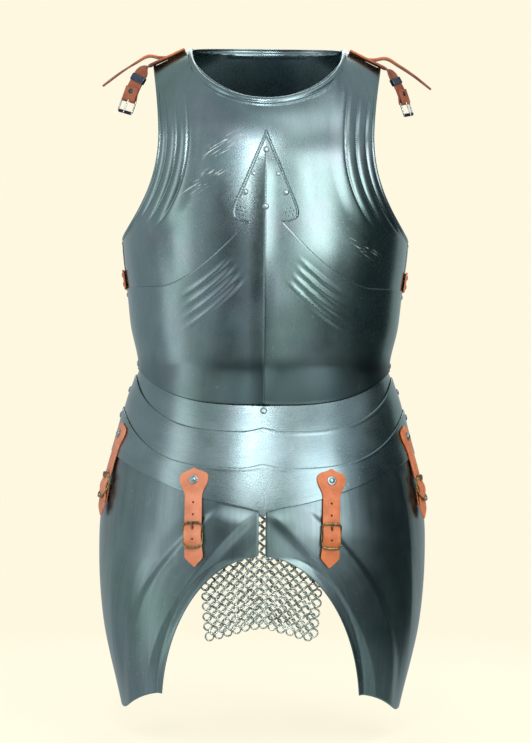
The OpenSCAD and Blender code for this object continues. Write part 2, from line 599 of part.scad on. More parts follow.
// Distance of a strap's inner face from the common surface, at height z: it passes under the
// buckle's outer bars and over its centre bar
rest_off = tasset_off + crease_h + strap_gap;
function strap_knots(s) = [
    [s[4], rest_off + 2],
    [s[3] - buckle_l / 2 - 8, rest_off + 2 * chape_t + 1],
    [s[3] - buckle_l / 2, rest_off + 2 * chape_t + 1],
    [s[3], rest_off + 2 * loop_r + 2.5 * strap_gap],
    [s[3] + buckle_l / 2, rest_off + 1.2],
    [fauld_bottom(s[0]), lame3_off + strap_gap]];
function strap_off(s, z) = z > fauld_bottom(s[0]) ? lame3_off + strap_gap : along(strap_knots(s), z);
function strap_in(s, z) = out_at(s[0], z, strap_off(s, z));
module strap(s) {
    steps = 24;
    zs = [for (k = [0 : steps]) mix(s[1] + 1, s[4] - 1, k / steps)];
    w = strap_w / 2;
    h = head_w / 2;
    strap_frame(s) difference() {
        intersection() {
            linear_extrude(height = head_w + 4, center = true) polygon(concat(
                [for (z = zs) [strap_in(s, z), z]],
                [for (k = [steps : -1 : 0]) [strap_in(s, zs[k]) + strap_t, zs[k]]]));
            rotate([0, -90, 0]) linear_extrude(height = 160, center = true) polygon([
                [0, s[1]], [-h * 0.6, s[1] - 4], [-h * 0.95, s[1] - 12], [-h * 0.8, s[1] - 19],
                [-w, s[1] - 26], [-w, s[4] + 9], [-w * 0.75, s[4] + 4], [0, s[4]],
                [w * 0.75, s[4] + 4], [w, s[4] + 9], [w, s[1] - 26], [h * 0.8, s[1] - 19],
                [h * 0.95, s[1] - 12], [h * 0.6, s[1] - 4]]);
        }
        translate([strap_in(s, s[3]) - 8, s[3] - 3.8, -slot_w / 2]) cube([16, slot_l, slot_w]);
    }
}
module bar(p, q, r) {
    d = q - p;
    translate(p) rotate([0, acos(d.z / norm(d)), atan2(d.y, d.x)]) cylinder(h = norm(d), r = r, $fn = 20);
}
// Centre bar of a strap's buckle, in the strap's frame, and the outer bar at the distance l above it
function heel_x(s) = out_at(s[0], s[3], heel_off);
function outer_x(s, l) = strap_in(s, s[3] + l) + strap_t + 2 * strap_gap + wire_r;
// A frame between a bar at height z and another at the distance l above it
module buckle(hx, tx, z, l, w, r) {
    heel = [hx, z, 0];
    tip = [tx, z + l, 0];
    side = [0, 0, w / 2];
    bar(heel - side, heel + side, r);
    bar(tip - side, tip + side, r);
    for (k = [-1, 1]) {
        bar(heel + k * side, tip + k * side, r);
        translate(heel + k * side) sphere(r = 1.06 * r, $fn = 20);
        translate(tip + k * side) sphere(r = 1.06 * r, $fn = 20);
    }
}
module prong(hx, tx, z, l, r) {
    translate([hx, z, 0]) difference() {
        cylinder(h = 3.6, r = r + 1.25, center = true, $fn = 24);
        cylinder(h = 5, r = r + 0.15, center = true, $fn = 24);
    }
    bar([hx + r + 1.1, z + 0.9, 0], [tx + r + 1.4, z + l + 0.6, 0], 1.05);
}
rail_gap = strap_w + 2 * wire_r + 2 * strap_gap;
module strap_buckle(s) {
    strap_frame(s) for (l = [-buckle_l / 2, buckle_l / 2])
        buckle(heel_x(s), outer_x(s, l), s[3], l, rail_gap, wire_r);
}
module strap_prong(s) {
    l = buckle_l / 2;
    strap_frame(s) prong(heel_x(s), outer_x(s, l), s[3], l, wire_r);
}
chape_l = 22;
chape_w = strap_w - 3;
// Leather folded round a heel bar at height z; its back lies at b0, and at b1 at its end
module chape_solid(hx, z, b0, b1) {
    low = z - chape_l;
    difference() {
        union() {
            translate([hx, z, 0]) cylinder(h = chape_w, r = loop_r, center = true, $fn = 32);
            linear_extrude(height = chape_w, center = true)
                polygon([[b0 + 0.4, z], [b0, z - 1.6], [b1, low], [b1 + 2 * chape_t, low],
                    [hx + loop_r * 0.5, z - loop_r * 0.7], [hx, z]]);
        }
        translate([hx, z, 0]) cylinder(h = chape_w + 2, r = wire_r + 0.15, center = true, $fn = 32);
        translate([hx - 6, z - 4.2, -2.3]) cube([14, 12, 4.6]);
    }
}
function chape_back(s, z) = out_at(s[0], z, tasset_off + crease_h + strap_gap);
module chape(s) {
    strap_frame(s) chape_solid(heel_x(s), s[3], chape_back(s, s[3]), chape_back(s, s[3] - chape_l));
}
module chape_rivet(s) {
    z = s[3] - chape_l + 6;
    strap_frame(s) translate([chape_back(s, z) + 2 * chape_t, z, 0])
        rotate([0, 90, 0])
            rivet(3, 2 * chape_t + strap_gap + crease_h + lame_t + 0.5, false, 0.6);
}
washer_t = 0.8;
module strap_rivet(s) {
    on_normal(s[0], s[2], lame3_off + strap_gap + strap_t) {
        cylinder(h = washer_t, r = 6, $fn = 32);
        translate([0, 0, washer_t])
            rivet(3.5, washer_t + strap_t + strap_gap + lame_t + s[5], true, 1.6);
    }
}
// The piece as drawn for the right side, or its mirror image for the left
module both(s) { mirror([s < 0 ? 1 : 0, 0, 0]) children(); }

module front_strap_left() { both(-1) color(leather) strap(strap_front); }
module front_strap_right() { both(1) color(leather) strap(strap_front); }
module hip_strap_left() { both(-1) color(leather) strap(strap_hip); }
module hip_strap_right() { both(1) color(leather) strap(strap_hip); }
module strap_rivets() {
    color(rivet_steel) for (k = [-1, 1], s = [strap_front, strap_hip]) both(k) strap_rivet(s);
}
module chapes_left() { color(leather) for (s = [strap_front, strap_hip]) both(-1) chape(s); }
module chapes_right() { color(leather) for (s = [strap_front, strap_hip]) both(1) chape(s); }
module chape_rivets_left() { color(brass) for (s = [strap_front, strap_hip]) both(-1) chape_rivet(s); }
module chape_rivets_right() { color(brass) for (s = [strap_front, strap_hip]) both(1) chape_rivet(s); }
module buckles_left() { color(brass) for (s = [strap_front, strap_hip]) both(-1) strap_buckle(s); }
module buckles_right() { color(brass) for (s = [strap_front, strap_hip]) both(1) strap_buckle(s); }
module prongs_left() { color(brass) for (s = [strap_front, strap_hip]) both(-1) strap_prong(s); }
module prongs_right() { color(brass) for (s = [strap_front, strap_hip]) both(1) strap_prong(s); }

module mail_band() {
    half = angle_at(front_strap_x + 6, band_low_z);
    angles = [for (s = [-1 : 1 / 6 : 1.001]) s * half];
    grid = function (d) [for (r = [0 : 2]) [for (a = angles)
        on_skin(a, band_low_z + band_h * r / 2, tasset_off + d)]];
    color(leather_dark) plate(grid(0), grid(-band_t));
}
// The mail apron: an upright net that bends round the front below the band
mail_top_z = band_low_z - 0.4;
mail_in = 1.6;
function mail_point(x, s, d) = let (
        a = sign(x) * angle_at(x, band_low_z),
        low = mail_top_z - mail_l - mail_corner * pow(abs(x) / mail_half_w, 1.2),
        narrowed = 1 - mail_taper / mail_half_w * pow(1 - s, 1.5))
    [x * narrowed, on_skin(a, band_low_z, tasset_off - mail_in).y + d, mix(low, mail_top_z, s)];
module mail_apron() {
    nr = 2 * mail_rows + 1;
    nc = 2 * mail_cols + 1;
    grid = function (d) [for (r = [0 : nr]) [for (c = [0 : nc])
        mail_point(mail_half_w * (2 * c / nc - 1), r / nr, d)]];
    color(mail_steel) plate(grid(0), grid(mail_t), function (r, c) r % 2 == 0 || c % 2 == 0);
}

// Shoulder straps, drawn for the wearer's left side in the X-Z plane and carried along Y
function shoulder_line(x) = shoulder_z - shoulder_drop * (x - neck_half_w) / (shoulder_half_w - neck_half_w);
function curve(p, steps) = [for (i = [0 : len(p) - 2], k = [0 : steps - 1]) let (s = k / steps,
        a = p[max(0, i - 1)], b = p[i], c = p[i + 1], d = p[min(len(p) - 1, i + 2)])
    0.5 * (2 * b + (c - a) * s + (2 * a - 5 * b + 4 * c - d) * s * s + (3 * b - a - 3 * c + d) * s * s * s),
    p[len(p) - 1]];
// Axes of a strap at point i of its path: along it, across it, and out of its grain side, which
// turns from the upper side towards the front by the angle turn
function strap_axes(p, i, turn) = let (
        d = unit(p[min(len(p) - 1, i + 1)] - p[max(0, i - 1)]),
        up = [-d.y, 0, d.x])
    [[d.x, 0, d.y], [0, cos(turn), 0] + sin(turn) * up, cos(turn) * up - [0, sin(turn), 0]];
// A strap along a path in the X-Z plane: turn(i) and width(i) give its twist and its width's share
module ribbon(p, t, w, turn, width) {
    grid = function (d) [for (k = [-1 : 1]) [for (i = [0 : len(p) - 1]) let (axes = strap_axes(p, i, turn(i)))
        [p[i].x, 0, p[i].y] + k * width(i) * w / 2 * axes[1] + d * axes[2]]];
    plate(grid(t), grid(0));
}
shoulder_y = 12.5;
lift = 1;
tongue_lift = plackart_off + 1.2;
tongue_t = 2.6;
path_steps = 3;
tongue_path = curve([[107, shoulder_line(107) + tongue_lift], [124, shoulder_line(124) + tongue_lift],
    [139, 398], [155, 400], [171, 391], [191, 378], [213, 361]], path_steps);
hanger_path = curve([[107, shoulder_line(107) + lift], [132, shoulder_line(132) + lift],
    [shoulder_half_w + 2, shoulder_line(shoulder_half_w + 2) + lift + 1.5], [158.5, 380], [166, 368],
    [172, 356], [176, 345]], path_steps);
// Twist of the left and right straps at their free ends
function tongue_turn(s) = s < 0 ? 12 : 5;
function hanger_turn(s) = s < 0 ? 60 : 35;
module shoulder_tongue(s) {
    last = len(tongue_path) - 1;
    both(s) color(leather_dark) translate([0, shoulder_y, 0]) ribbon(tongue_path, tongue_t, shoulder_strap_w,
        function (i) tongue_turn(s) * smooth((i - 2 * path_steps) / (last - 2 * path_steps)),
        function (i) 0.12 + 0.88 * sqrt(clamp01((last - i) / 3)));
}
hanger_last = len(hanger_path) - 1;
function hanger_twist(s, i) = hanger_turn(s) * smooth((i - 2 * path_steps) / (1.6 * path_steps));
// Frame on a hanger at point i: X out of its grain side, Y up the strap, Z across it
module hanger_frame(s, i, down = 0) {
    axes = strap_axes(hanger_path, i, hanger_turn(s));
    d = -axes[0];
    x = axes[2];
    z = cross(x, d);
    p = [hanger_path[i].x, -shoulder_y, hanger_path[i].y] - down * d + tongue_t / 2 * x;
    both(s) multmatrix([[x.x, d.x, z.x, p.x], [x.y, d.y, z.y, p.y], [x.z, d.z, z.z, p.z], [0, 0, 0, 1]])
        children();
}
heel_down = 4.2;
fold_r = wire_r + 0.15 + 2;
module shoulder_hanger(s) {
    color(leather_dark) difference() {
        union() {
            both(s) translate([0, -shoulder_y, 0]) ribbon(hanger_path, tongue_t, shoulder_strap_w,
                function (i) hanger_twist(s, i), function (i) 1);
            hanger_frame(s, hanger_last, heel_down) {
                cylinder(h = shoulder_strap_w, r = fold_r, center = true, $fn = 32);
                translate([-tongue_t / 2, 0, -shoulder_strap_w / 2])
                    cube([tongue_t / 2 + fold_r, 15, shoulder_strap_w]);
            }
        }
        hanger_frame(s, hanger_last, heel_down) {
            cylinder(h = shoulder_strap_w + 2, r = wire_r + 0.15, center = true, $fn = 32);
            translate([-8, -11, -slot_w / 2 - 0.1]) cube([16, 16, slot_w + 0.2]);
        }
    }
}
module shoulder_buckle(s) {
    color(nickel) hanger_frame(s, hanger_last, heel_down)
        buckle(0, 0, 0, -shoulder_buckle_l, shoulder_strap_w + 2 * wire_r + 1, wire_r);
}
module shoulder_prong(s) {
    color(nickel) hanger_frame(s, hanger_last, heel_down) mirror([0, 1, 0])
        prong(0, 0, 0, shoulder_buckle_l, wire_r);
}
keeper_at = hanger_last - 2 * path_steps;
keeper_l = 9;
keeper_wall = 1.2;
module shoulder_keepers() {
    bore = [tongue_t + 1, keeper_l, shoulder_strap_w + 0.6];
    color(nickel) for (s = [-1, 1]) hanger_frame(s, keeper_at) difference() {
        cube(bore + 2 * [keeper_wall, 0, keeper_wall], center = true);
        cube(bore + [0, 2, 0], center = true);
    }
}
rivet_tilt = atan2(shoulder_drop, shoulder_half_w - neck_half_w);
module shoulder_rivets(y, up) {
    color(rivet_steel) for (s = [-1, 1], x = [113, 124]) both(s)
        translate([x, y, shoulder_line(x) + up + tongue_t / cos(rivet_tilt) + 0.1]) rotate([0, rivet_tilt, 0])
            rivet(3, tongue_t + 5.5, false, 1.4);
}
module shoulder_tongue_left() { shoulder_tongue(-1); }
module shoulder_tongue_right() { shoulder_tongue(1); }
module shoulder_strap_left() { shoulder_hanger(-1); }
module shoulder_strap_right() { shoulder_hanger(1); }
module shoulder_buckle_left() { shoulder_buckle(-1); }
module shoulder_buckle_right() { shoulder_buckle(1); }
module shoulder_prong_left() { shoulder_prong(-1); }
module shoulder_prong_right() { shoulder_prong(1); }
module shoulder_rivets_front() { shoulder_rivets(-shoulder_y, lift); }
module shoulder_rivets_back() { shoulder_rivets(shoulder_y, tongue_lift); }

// Side straps: riveted to the breast, buckled on the back plate
side_z = 109;
side_strap_h = 24;
side_start = 85;
side_heel_angle = 118;
side_tip_angle = 109.5;
side_end = 130;
side_in = plackart_off + strap_gap + 0.2;
side_rise = 2 * loop_r + 0.6;
function side_lift(a) = side_rise * smooth((a - 98) / 12);
// Their buckles' frame: X out of the back plate, Y level and forwards
side_x = normal_at(side_heel_angle, skin(side_heel_angle, side_z));
side_y = unit([side_x.y, -side_x.x, 0]);
function side_local(a, off) = let (d = on_skin(a, side_z, off) - skin(side_heel_angle, side_z))
    [d * side_x, d * side_y];
module side_frame() {
    z = cross(side_x, side_y);
    p = skin(side_heel_angle, side_z);
    multmatrix([[side_x.x, side_y.x, z.x, p.x], [side_x.y, side_y.y, z.y, p.y],
        [side_x.z, side_y.z, z.z, p.z], [0, 0, 0, 1]]) children();
}
side_heel_x = plackart_off + strap_gap + loop_r;
module side_strap(s) {
    angles = [for (k = [0 : 1 / 20 : 1.001]) mix(side_start, side_end, k)];
    grid = function (d) [for (h = [-0.5, 0, 0.5]) [for (a = angles)
        on_skin(a, side_z + h * side_strap_h, side_in + side_lift(a) + d)]];
    both(s) color(leather) difference() {
        plate(grid(strap_t), grid(0));
        side_frame() translate([side_heel_x, -4, -slot_w / 2]) cube([14, side_tip_at.y + 2, slot_w]);
    }
}
module side_strap_left() { side_strap(-1); }
module side_strap_right() { side_strap(1); }
module side_rivets_front() {
    color(rivet_steel) for (s = [-1, 1], z = [side_z - 6, side_z + 6]) both(s)
        on_normal(87.5, z, side_in + strap_t) rivet(3.2, side_in + strap_t + plate_t + 0.5, false, 1.2);
}
module side_chapes() {
    color(leather) for (s = [-1, 1]) both(s) side_frame()
        chape_solid(side_heel_x, 0, plackart_off + strap_gap, plackart_off + strap_gap);
}
module side_rivets_back() {
    color(brass) for (s = [-1, 1]) both(s) side_frame()
        translate([plackart_off + strap_gap + 2 * chape_t, 6 - chape_l, 0]) rotate([0, 90, 0])
            rivet(3, 2 * chape_t + strap_gap + plate_t + 1.5, false, 0.9);
}
side_tip_off = side_in + side_lift(side_tip_angle) + strap_t + strap_gap + wire_r + 0.3;
side_tip_at = side_local(side_tip_angle, side_tip_off);
module side_buckles() {
    color(brass) for (s = [-1, 1]) both(s) side_frame()
        buckle(side_heel_x, side_tip_at.x, 0, side_tip_at.y, side_strap_h + 2 * wire_r + 1, wire_r);
}
module side_prongs() {
    color(brass) for (s = [-1, 1]) both(s) side_frame()
        prong(side_heel_x, side_tip_at.x, 0, side_tip_at.y, wire_r);
}

breastplate_upper();
plackart();
plackart_rivets();
backplate();
waist_rivets();
fauld_lame_1();
fauld_lame_2();
fauld_lame_3();
fauld_rivets_12();
fauld_rivets_23();
culet_lame_1();
culet_lame_2();
culet_lame_3();
culet_waist_rivets();
culet_rivets_12();
culet_rivets_23();
tasset_left();
tasset_right();
front_strap_left();
front_strap_right();
hip_strap_left();
hip_strap_right();
strap_rivets();
chapes_left();
chapes_right();
chape_rivets_left();
chape_rivets_right();
buckles_left();
buckles_right();
prongs_left();
prongs_right();
mail_band();
mail_apron();
shoulder_tongue_left();
shoulder_tongue_right();
shoulder_strap_left();
shoulder_strap_right();
shoulder_keepers();
shoulder_buckle_left();
shoulder_buckle_right();
shoulder_prong_left();
shoulder_prong_right();
shoulder_rivets_front();
shoulder_rivets_back();
side_strap_left();
side_strap_right();
side_rivets_front();
side_chapes();
side_rivets_back();
side_buckles();
side_prongs();
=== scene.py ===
"""A plate cuirass: worked steel, leather straps, a mail apron and the stage that shows them."""

import math

import bpy
import numpy as np
from mathutils import Matrix, Vector


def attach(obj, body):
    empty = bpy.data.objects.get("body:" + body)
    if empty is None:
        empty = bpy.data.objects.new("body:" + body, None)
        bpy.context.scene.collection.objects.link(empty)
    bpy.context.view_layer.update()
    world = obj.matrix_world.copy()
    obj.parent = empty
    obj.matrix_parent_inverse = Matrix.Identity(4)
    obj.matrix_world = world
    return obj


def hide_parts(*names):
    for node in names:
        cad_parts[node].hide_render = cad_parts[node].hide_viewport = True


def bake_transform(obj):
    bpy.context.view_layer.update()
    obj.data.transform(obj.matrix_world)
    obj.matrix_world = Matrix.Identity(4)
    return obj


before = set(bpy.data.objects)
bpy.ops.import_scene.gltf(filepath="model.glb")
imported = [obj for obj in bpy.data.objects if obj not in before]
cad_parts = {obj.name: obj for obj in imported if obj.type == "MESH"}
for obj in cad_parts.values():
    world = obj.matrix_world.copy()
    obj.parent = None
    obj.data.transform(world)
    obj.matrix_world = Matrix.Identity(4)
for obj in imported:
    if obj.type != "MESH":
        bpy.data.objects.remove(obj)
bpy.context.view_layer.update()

bl_info = {
    "name": "Plate Cuirass",
    "version": (1, 0, 0),
    "blender": (4, 5, 0),
    "location": "3D View > Sidebar > Cuirass",
    "description": "Builds a fluted cuirass with fauld, tassets, straps and mail",
    "category": "Add Mesh",
}

# Lengths in the shape functions are millimetres; meshes are made in metres
MM = 0.001

# Torso: half widths, depths in front of and behind the side line, and heights
WAIST_W, ARMPIT_W, ARMPIT_Z = 161.0, 184.0, 160.0
SHOULDER_Z, SHOULDER_DROP, SHOULDER_W = 409.0, 24.0, 147.5
ARMHOLE_W, CHEST_D, WAIST_D, BLADE_D, BACK_WAIST_D = 135.5, 149.0, 118.0, 118.0, 80.0
NECK_W, NECK_Z, BACK_NECK_D, BACK_NECK_RISE = 98.0, 335.0, 58.0, 10.0
HIP_W, HIP_D, CULET_D, HIP_Z = 209.0, 172.0, 132.0, -215.0
FOOT_Z, FOOT_W, FOOT_D = -439.0, 178.0, 138.0
END_D = 3.0
PLATE_T, LAME_T, GAP = 1.5, 1.2, 0.5
# Outer faces of the layers, outwards from the common surface
PLACKART_OFF = GAP + PLATE_T
LAME1_OFF = -0.3
LAME2_OFF = GAP + LAME_T
LAME3_OFF = 2 * LAME2_OFF
TASSET_OFF = LAME2_OFF
# Cross sections are superellipses with this exponent
SECTION_N = 2.3
SECTION_E = 2 / SECTION_N


def mix(a, b, s):
    """From a to b in a straight line: a + (b - a) s."""
    return a + (b - a) * s


def clamp01(s):
    """s kept between 0 and 1."""
    return np.clip(s, 0.0, 1.0)


def smooth(s):
    """Rises from 0 to 1 with level ends: 3 t^2 - 2 t^3."""
    t = clamp01(s)
    return t * t * (3 - 2 * t)


def unit(v):
    """Vectors divided by their lengths."""
    return v / np.maximum(np.linalg.norm(v, axis=-1, keepdims=True), 1e-12)


def ridge(x, at, width):
    """A triangle of height 1 at the place at, down to 0 at width to either side."""
    return clamp01(1 - np.abs(x - at) / width)


def wave(x, period):
    """Round swells between 0 and 1, one each period: half of 1 - cos."""
    return 0.5 - 0.5 * np.cos(2 * np.pi * x / period)


def along(knots, z):
    """A cubic through knots (place, value), with finite-difference slopes, straight beyond its ends."""
    k = np.array(knots, float)
    x, y = k[:, 0], k[:, 1]
    last = len(x) - 1
    before, after = np.maximum(np.arange(last + 1) - 1, 0), np.minimum(np.arange(last + 1) + 1, last)
    slope = (y[after] - y[before]) / (x[after] - x[before])
    z = np.asarray(z, float)
    i = np.clip(np.searchsorted(x, z, "right") - 1, 0, last - 1)
    h = x[i + 1] - x[i]
    s = (z - x[i]) / h
    inside = (y[i] * (1 + 2 * s) * (1 - s) ** 2 + slope[i] * h * s * (1 - s) ** 2
              + y[i + 1] * s * s * (3 - 2 * s) + slope[i + 1] * h * s * s * (s - 1))
    low = y[0] + slope[0] * (z - x[0])
    high = y[last] + slope[last] * (z - x[last])
    return np.where(z < x[0], low, np.where(z > x[last], high, inside))


HALF_W = [
    (FOOT_Z, FOOT_W), (mix(FOOT_Z, HIP_Z, 0.5), mix(FOOT_W, HIP_W, 0.81)), (HIP_Z, HIP_W),
    (0.63 * HIP_Z, mix(WAIST_W, HIP_W, 0.79)), (0.395 * HIP_Z, mix(WAIST_W, HIP_W, 0.51)),
    (0.21 * HIP_Z, mix(WAIST_W, HIP_W, 0.3)), (0.093 * HIP_Z, mix(WAIST_W, HIP_W, 0.115)),
    (0, WAIST_W), (0.3 * ARMPIT_Z, mix(WAIST_W, ARMPIT_W, 0.435)),
    (0.53 * ARMPIT_Z, mix(WAIST_W, ARMPIT_W, 0.62)), (ARMPIT_Z, ARMPIT_W),
    (mix(ARMPIT_Z, SHOULDER_Z, 0.4), ARMPIT_W - 4), (SHOULDER_Z, ARMPIT_W - 14)]
FRONT_SQ = [(z, d * d) for z, d in [
    (FOOT_Z, FOOT_D), (mix(FOOT_Z, HIP_Z, 0.5), mix(FOOT_D, HIP_D, 0.68)), (HIP_Z, HIP_D),
    (0.63 * HIP_Z, mix(WAIST_D, HIP_D, 0.78)), (0.395 * HIP_Z, mix(WAIST_D, HIP_D, 0.48)),
    (0.21 * HIP_Z, mix(WAIST_D, HIP_D, 0.18)), (0.093 * HIP_Z, mix(WAIST_D, HIP_D, 0.035)),
    (0, WAIST_D), (0.25 * ARMPIT_Z, mix(WAIST_D, CHEST_D, 0.3)),
    (0.56 * ARMPIT_Z, mix(WAIST_D, CHEST_D, 0.74)), (0.9 * ARMPIT_Z, CHEST_D),
    (1.25 * ARMPIT_Z, CHEST_D), (1.62 * ARMPIT_Z, 0.95 * CHEST_D),
    (SHOULDER_Z - 109, 0.86 * CHEST_D), (SHOULDER_Z - 71, 0.7 * CHEST_D), (SHOULDER_Z, END_D)]]
BACK_TOP_Z = SHOULDER_Z - 69
BACK_SQ = [(z, d * d) for z, d in [
    (HIP_Z, CULET_D), (0.395 * HIP_Z, mix(BACK_WAIST_D, CULET_D, 0.62)),
    (0.21 * HIP_Z, mix(BACK_WAIST_D, CULET_D, 0.26)), (0, BACK_WAIST_D),
    (0.4 * ARMPIT_Z, mix(BACK_WAIST_D, BLADE_D, 0.15)), (ARMPIT_Z, mix(BACK_WAIST_D, BLADE_D, 0.75)),
    (1.5 * ARMPIT_Z, BLADE_D), (0.5 * (1.5 * ARMPIT_Z + BACK_TOP_Z), 0.96 * BLADE_D),
    (BACK_TOP_Z, 0.86 * BLADE_D)]]


def half_w(z):
    """Half width of the common surface at height z."""
    return along(HALF_W, z)


def slant(x, z):
    """Lift of the section's height that lets the outer shoulders end lower than the inner ones."""
    out = clamp01((np.abs(x) - NECK_W) / (SHOULDER_W - NECK_W))
    return SHOULDER_DROP * out * smooth((z - SHOULDER_Z + 130) / 100)


def front_sq(x, z):
    """Square of the front's depth at height z, with the shoulders' slant."""
    return np.maximum(END_D ** 2 / 2, along(FRONT_SQ, z + slant(x, z)))


def back_sq(x, z):
    """Square of the back's depth; above the shoulder blades it closes in on the neck's arc."""
    zs = z + slant(x, z)
    neck = BACK_NECK_D * np.sqrt(np.maximum(0, 1 - (x / NECK_W) ** 2)) + END_D
    top = mix((0.86 * BLADE_D) ** 2, neck ** 2, clamp01((zs - BACK_TOP_Z) / (SHOULDER_Z - BACK_TOP_Z)))
    return np.where(zs <= BACK_TOP_Z, along(BACK_SQ, zs), np.maximum(END_D ** 2 / 2, top))


def skin(a, z):
    """The common surface: x = w |sin a|^e, y = -d |cos a|^e, with half width w and depth d at height z."""
    a, z = np.broadcast_arrays(np.asarray(a, float), np.asarray(z, float))
    s, c = np.sin(np.radians(a)), np.cos(np.radians(a))
    x = half_w(z) * np.sign(s) * np.abs(s) ** SECTION_E
    depth = np.sqrt(np.where(c >= 0, front_sq(x, z), back_sq(x, z)))
    return np.stack([x, -np.sign(c) * depth * np.abs(c) ** SECTION_E, z], -1)


def skin_normal(a, p):
    """Outward normal of the common surface at its point p: the gradient of |x/w|^n + |y/d|^n."""
    x, y, z = p[..., 0], p[..., 1], p[..., 2]
    front = np.cos(np.radians(a)) >= 0
    step = 0.02

    def depth_sq(zz):
        return np.where(front, front_sq(x, zz), back_sq(x, zz))

    def level(zz):
        return (np.abs(x) / half_w(zz)) ** SECTION_N + (y * y / depth_sq(zz)) ** (SECTION_N / 2)

    gx = SECTION_N * np.abs(x) ** (SECTION_N - 1) / half_w(z) ** SECTION_N * np.sign(x)
    gy = SECTION_N * np.abs(y) ** (SECTION_N - 1) / depth_sq(z) ** (SECTION_N / 2) * np.sign(y)
    gz = (level(z + step) - level(z - step)) / (2 * step)
    return unit(np.stack([gx, gy, gz], -1))


def on_skin(a, z, off):
    """The point at the distance off outside the common surface."""
    p = skin(a, z)
    return p + np.asarray(off)[..., None] * skin_normal(a, p)


def angle_at(x, z):
    """Angle at which the section's half width is x."""
    return np.degrees(np.arcsin(clamp01(np.abs(x) / half_w(z)) ** (1 / SECTION_E)))


def width_share(a):
    """Share of the half width at the angle a: |sin a|^e, and 1 behind the side line."""
    return np.where(np.abs(a) > 90, 1.0, np.abs(np.sin(np.radians(a))) ** SECTION_E)


def grid_quads(rows, cols, keep=None):
    """Corner indices of a grid's cells, anticlockwise seen from outside, where keep is true."""
    i = np.arange(rows - 1)[:, None] * cols + np.arange(cols - 1)
    q = np.stack([i, i + 1, i + cols + 1, i + cols], -1)
    return q[keep] if keep is not None else q.reshape(-1, 4)


# Rings of points that round the edge of a sheet
EDGE_RINGS = 3


def shell(points, normals, quads, t, swell=None):
    """Closes an open sheet into a wall of thickness t, which may change over it, with rounded edges.

    The inner face is the sheet moved in by t. Each border point turns round a half ellipse:
    p - t/2 n + t/2 cos f n + w sin f e, with e pointing away from the sheet in its plane and the
    swell w, which is t/2 unless given."""
    n = len(points)
    t = np.broadcast_to(np.asarray(t, float), (n,))[:, None]
    a, b = quads.ravel(), np.roll(quads, -1, 1).ravel()
    rim = ~np.isin(a * n + b, b * n + a)
    a, b = a[rim], b[rim]
    away = np.zeros_like(points)
    side = np.cross(unit(points[b] - points[a]), normals[a])
    np.add.at(away, a, side)
    np.add.at(away, b, side)
    edge = np.unique(np.concatenate([a, b]))
    place = np.zeros(n, int)
    place[edge] = np.arange(len(edge))
    away = unit(away[edge])
    pe, ne, half = points[edge], normals[edge], t[edge] / 2
    out = half if swell is None else swell
    turns = math.pi * np.arange(1, EDGE_RINGS + 1) / (EDGE_RINGS + 1)
    rings = [pe - half * (1 - math.cos(f)) * ne + out * math.sin(f) * away for f in turns]
    verts = np.concatenate([points, points - t * normals, *rings])
    starts = 2 * n + len(edge) * np.arange(EDGE_RINGS)
    levels = [(a, b), *[(start + place[a], start + place[b]) for start in starts], (a + n, b + n)]
    strips = [np.stack([q[1], q[0], r[0], r[1]], -1) for q, r in zip(levels, levels[1:])]
    source = np.concatenate([np.arange(n), np.arange(n), *[edge] * EDGE_RINGS])
    return verts, np.concatenate([quads, quads[:, ::-1] + n, *strips]), source


def make_mesh(name, verts, faces, lay=None):
    """A smooth mesh object at the origin from points in millimetres; faces may be several arrays.

    lay, the place along and across the surface, is kept as an attribute in metres."""
    groups = faces if isinstance(faces, list) else [faces]
    used = np.zeros(len(verts), bool)
    used[np.concatenate([group.ravel() for group in groups])] = True
    index = np.cumsum(used) - 1
    corners = np.concatenate([index[group].ravel() for group in groups]).astype(np.int32)
    sizes = np.concatenate([np.full(len(group), group.shape[1]) for group in groups])
    starts = np.concatenate([[0], np.cumsum(sizes)[:-1]]).astype(np.int32)
    mesh = bpy.data.meshes.new(name)
    mesh.vertices.add(int(used.sum()))
    mesh.vertices.foreach_set("co", (verts[used] * MM).astype(np.float32).ravel())
    mesh.loops.add(len(corners))
    mesh.loops.foreach_set("vertex_index", corners)
    mesh.polygons.add(len(sizes))
    mesh.polygons.foreach_set("loop_start", starts)
    mesh.polygons.foreach_set("use_smooth", np.ones(len(sizes), bool))
    mesh.update(calc_edges=True)
    if lay is not None:
        attribute = mesh.attributes.new("lay", "FLOAT_VECTOR", "POINT")
        attribute.data.foreach_set("vector", (lay[used] * MM).astype(np.float32).ravel())
    obj = bpy.data.objects.new(name, mesh)
    bpy.context.scene.collection.objects.link(obj)
    return obj


def lay_of(grid):
    """Distances along the rows and up the columns of a grid of points, measured from its middle."""
    across, up = (np.cumsum(np.linalg.norm(np.diff(grid, axis=k, prepend=first), axis=-1), k)
                  for k, first in ((1, grid[:, :1]), (0, grid[:1])))
    middle = grid.shape[1] // 2
    across -= across[:, middle:middle + 1]
    return np.stack([across, up, np.zeros_like(up)], -1).reshape(-1, 3)


def grid_normals(points):
    """Normals of a grid of points from its own differences, outwards for rows up and columns right."""
    return unit(np.cross(np.gradient(points, axis=1), np.gradient(points, axis=0)))


def finish_piece(obj, body, material, slot, *nodes):
    """Gives a new piece its material and body, and hides the nodes that it stands for; slot is not used.

    Without a body the piece is not attached."""
    obj.data.materials.append(material)
    if body:
        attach(obj, body)
    if nodes:
        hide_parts(*nodes)
    return obj


# Small solids: each is its points and a list of face arrays, all facing outwards

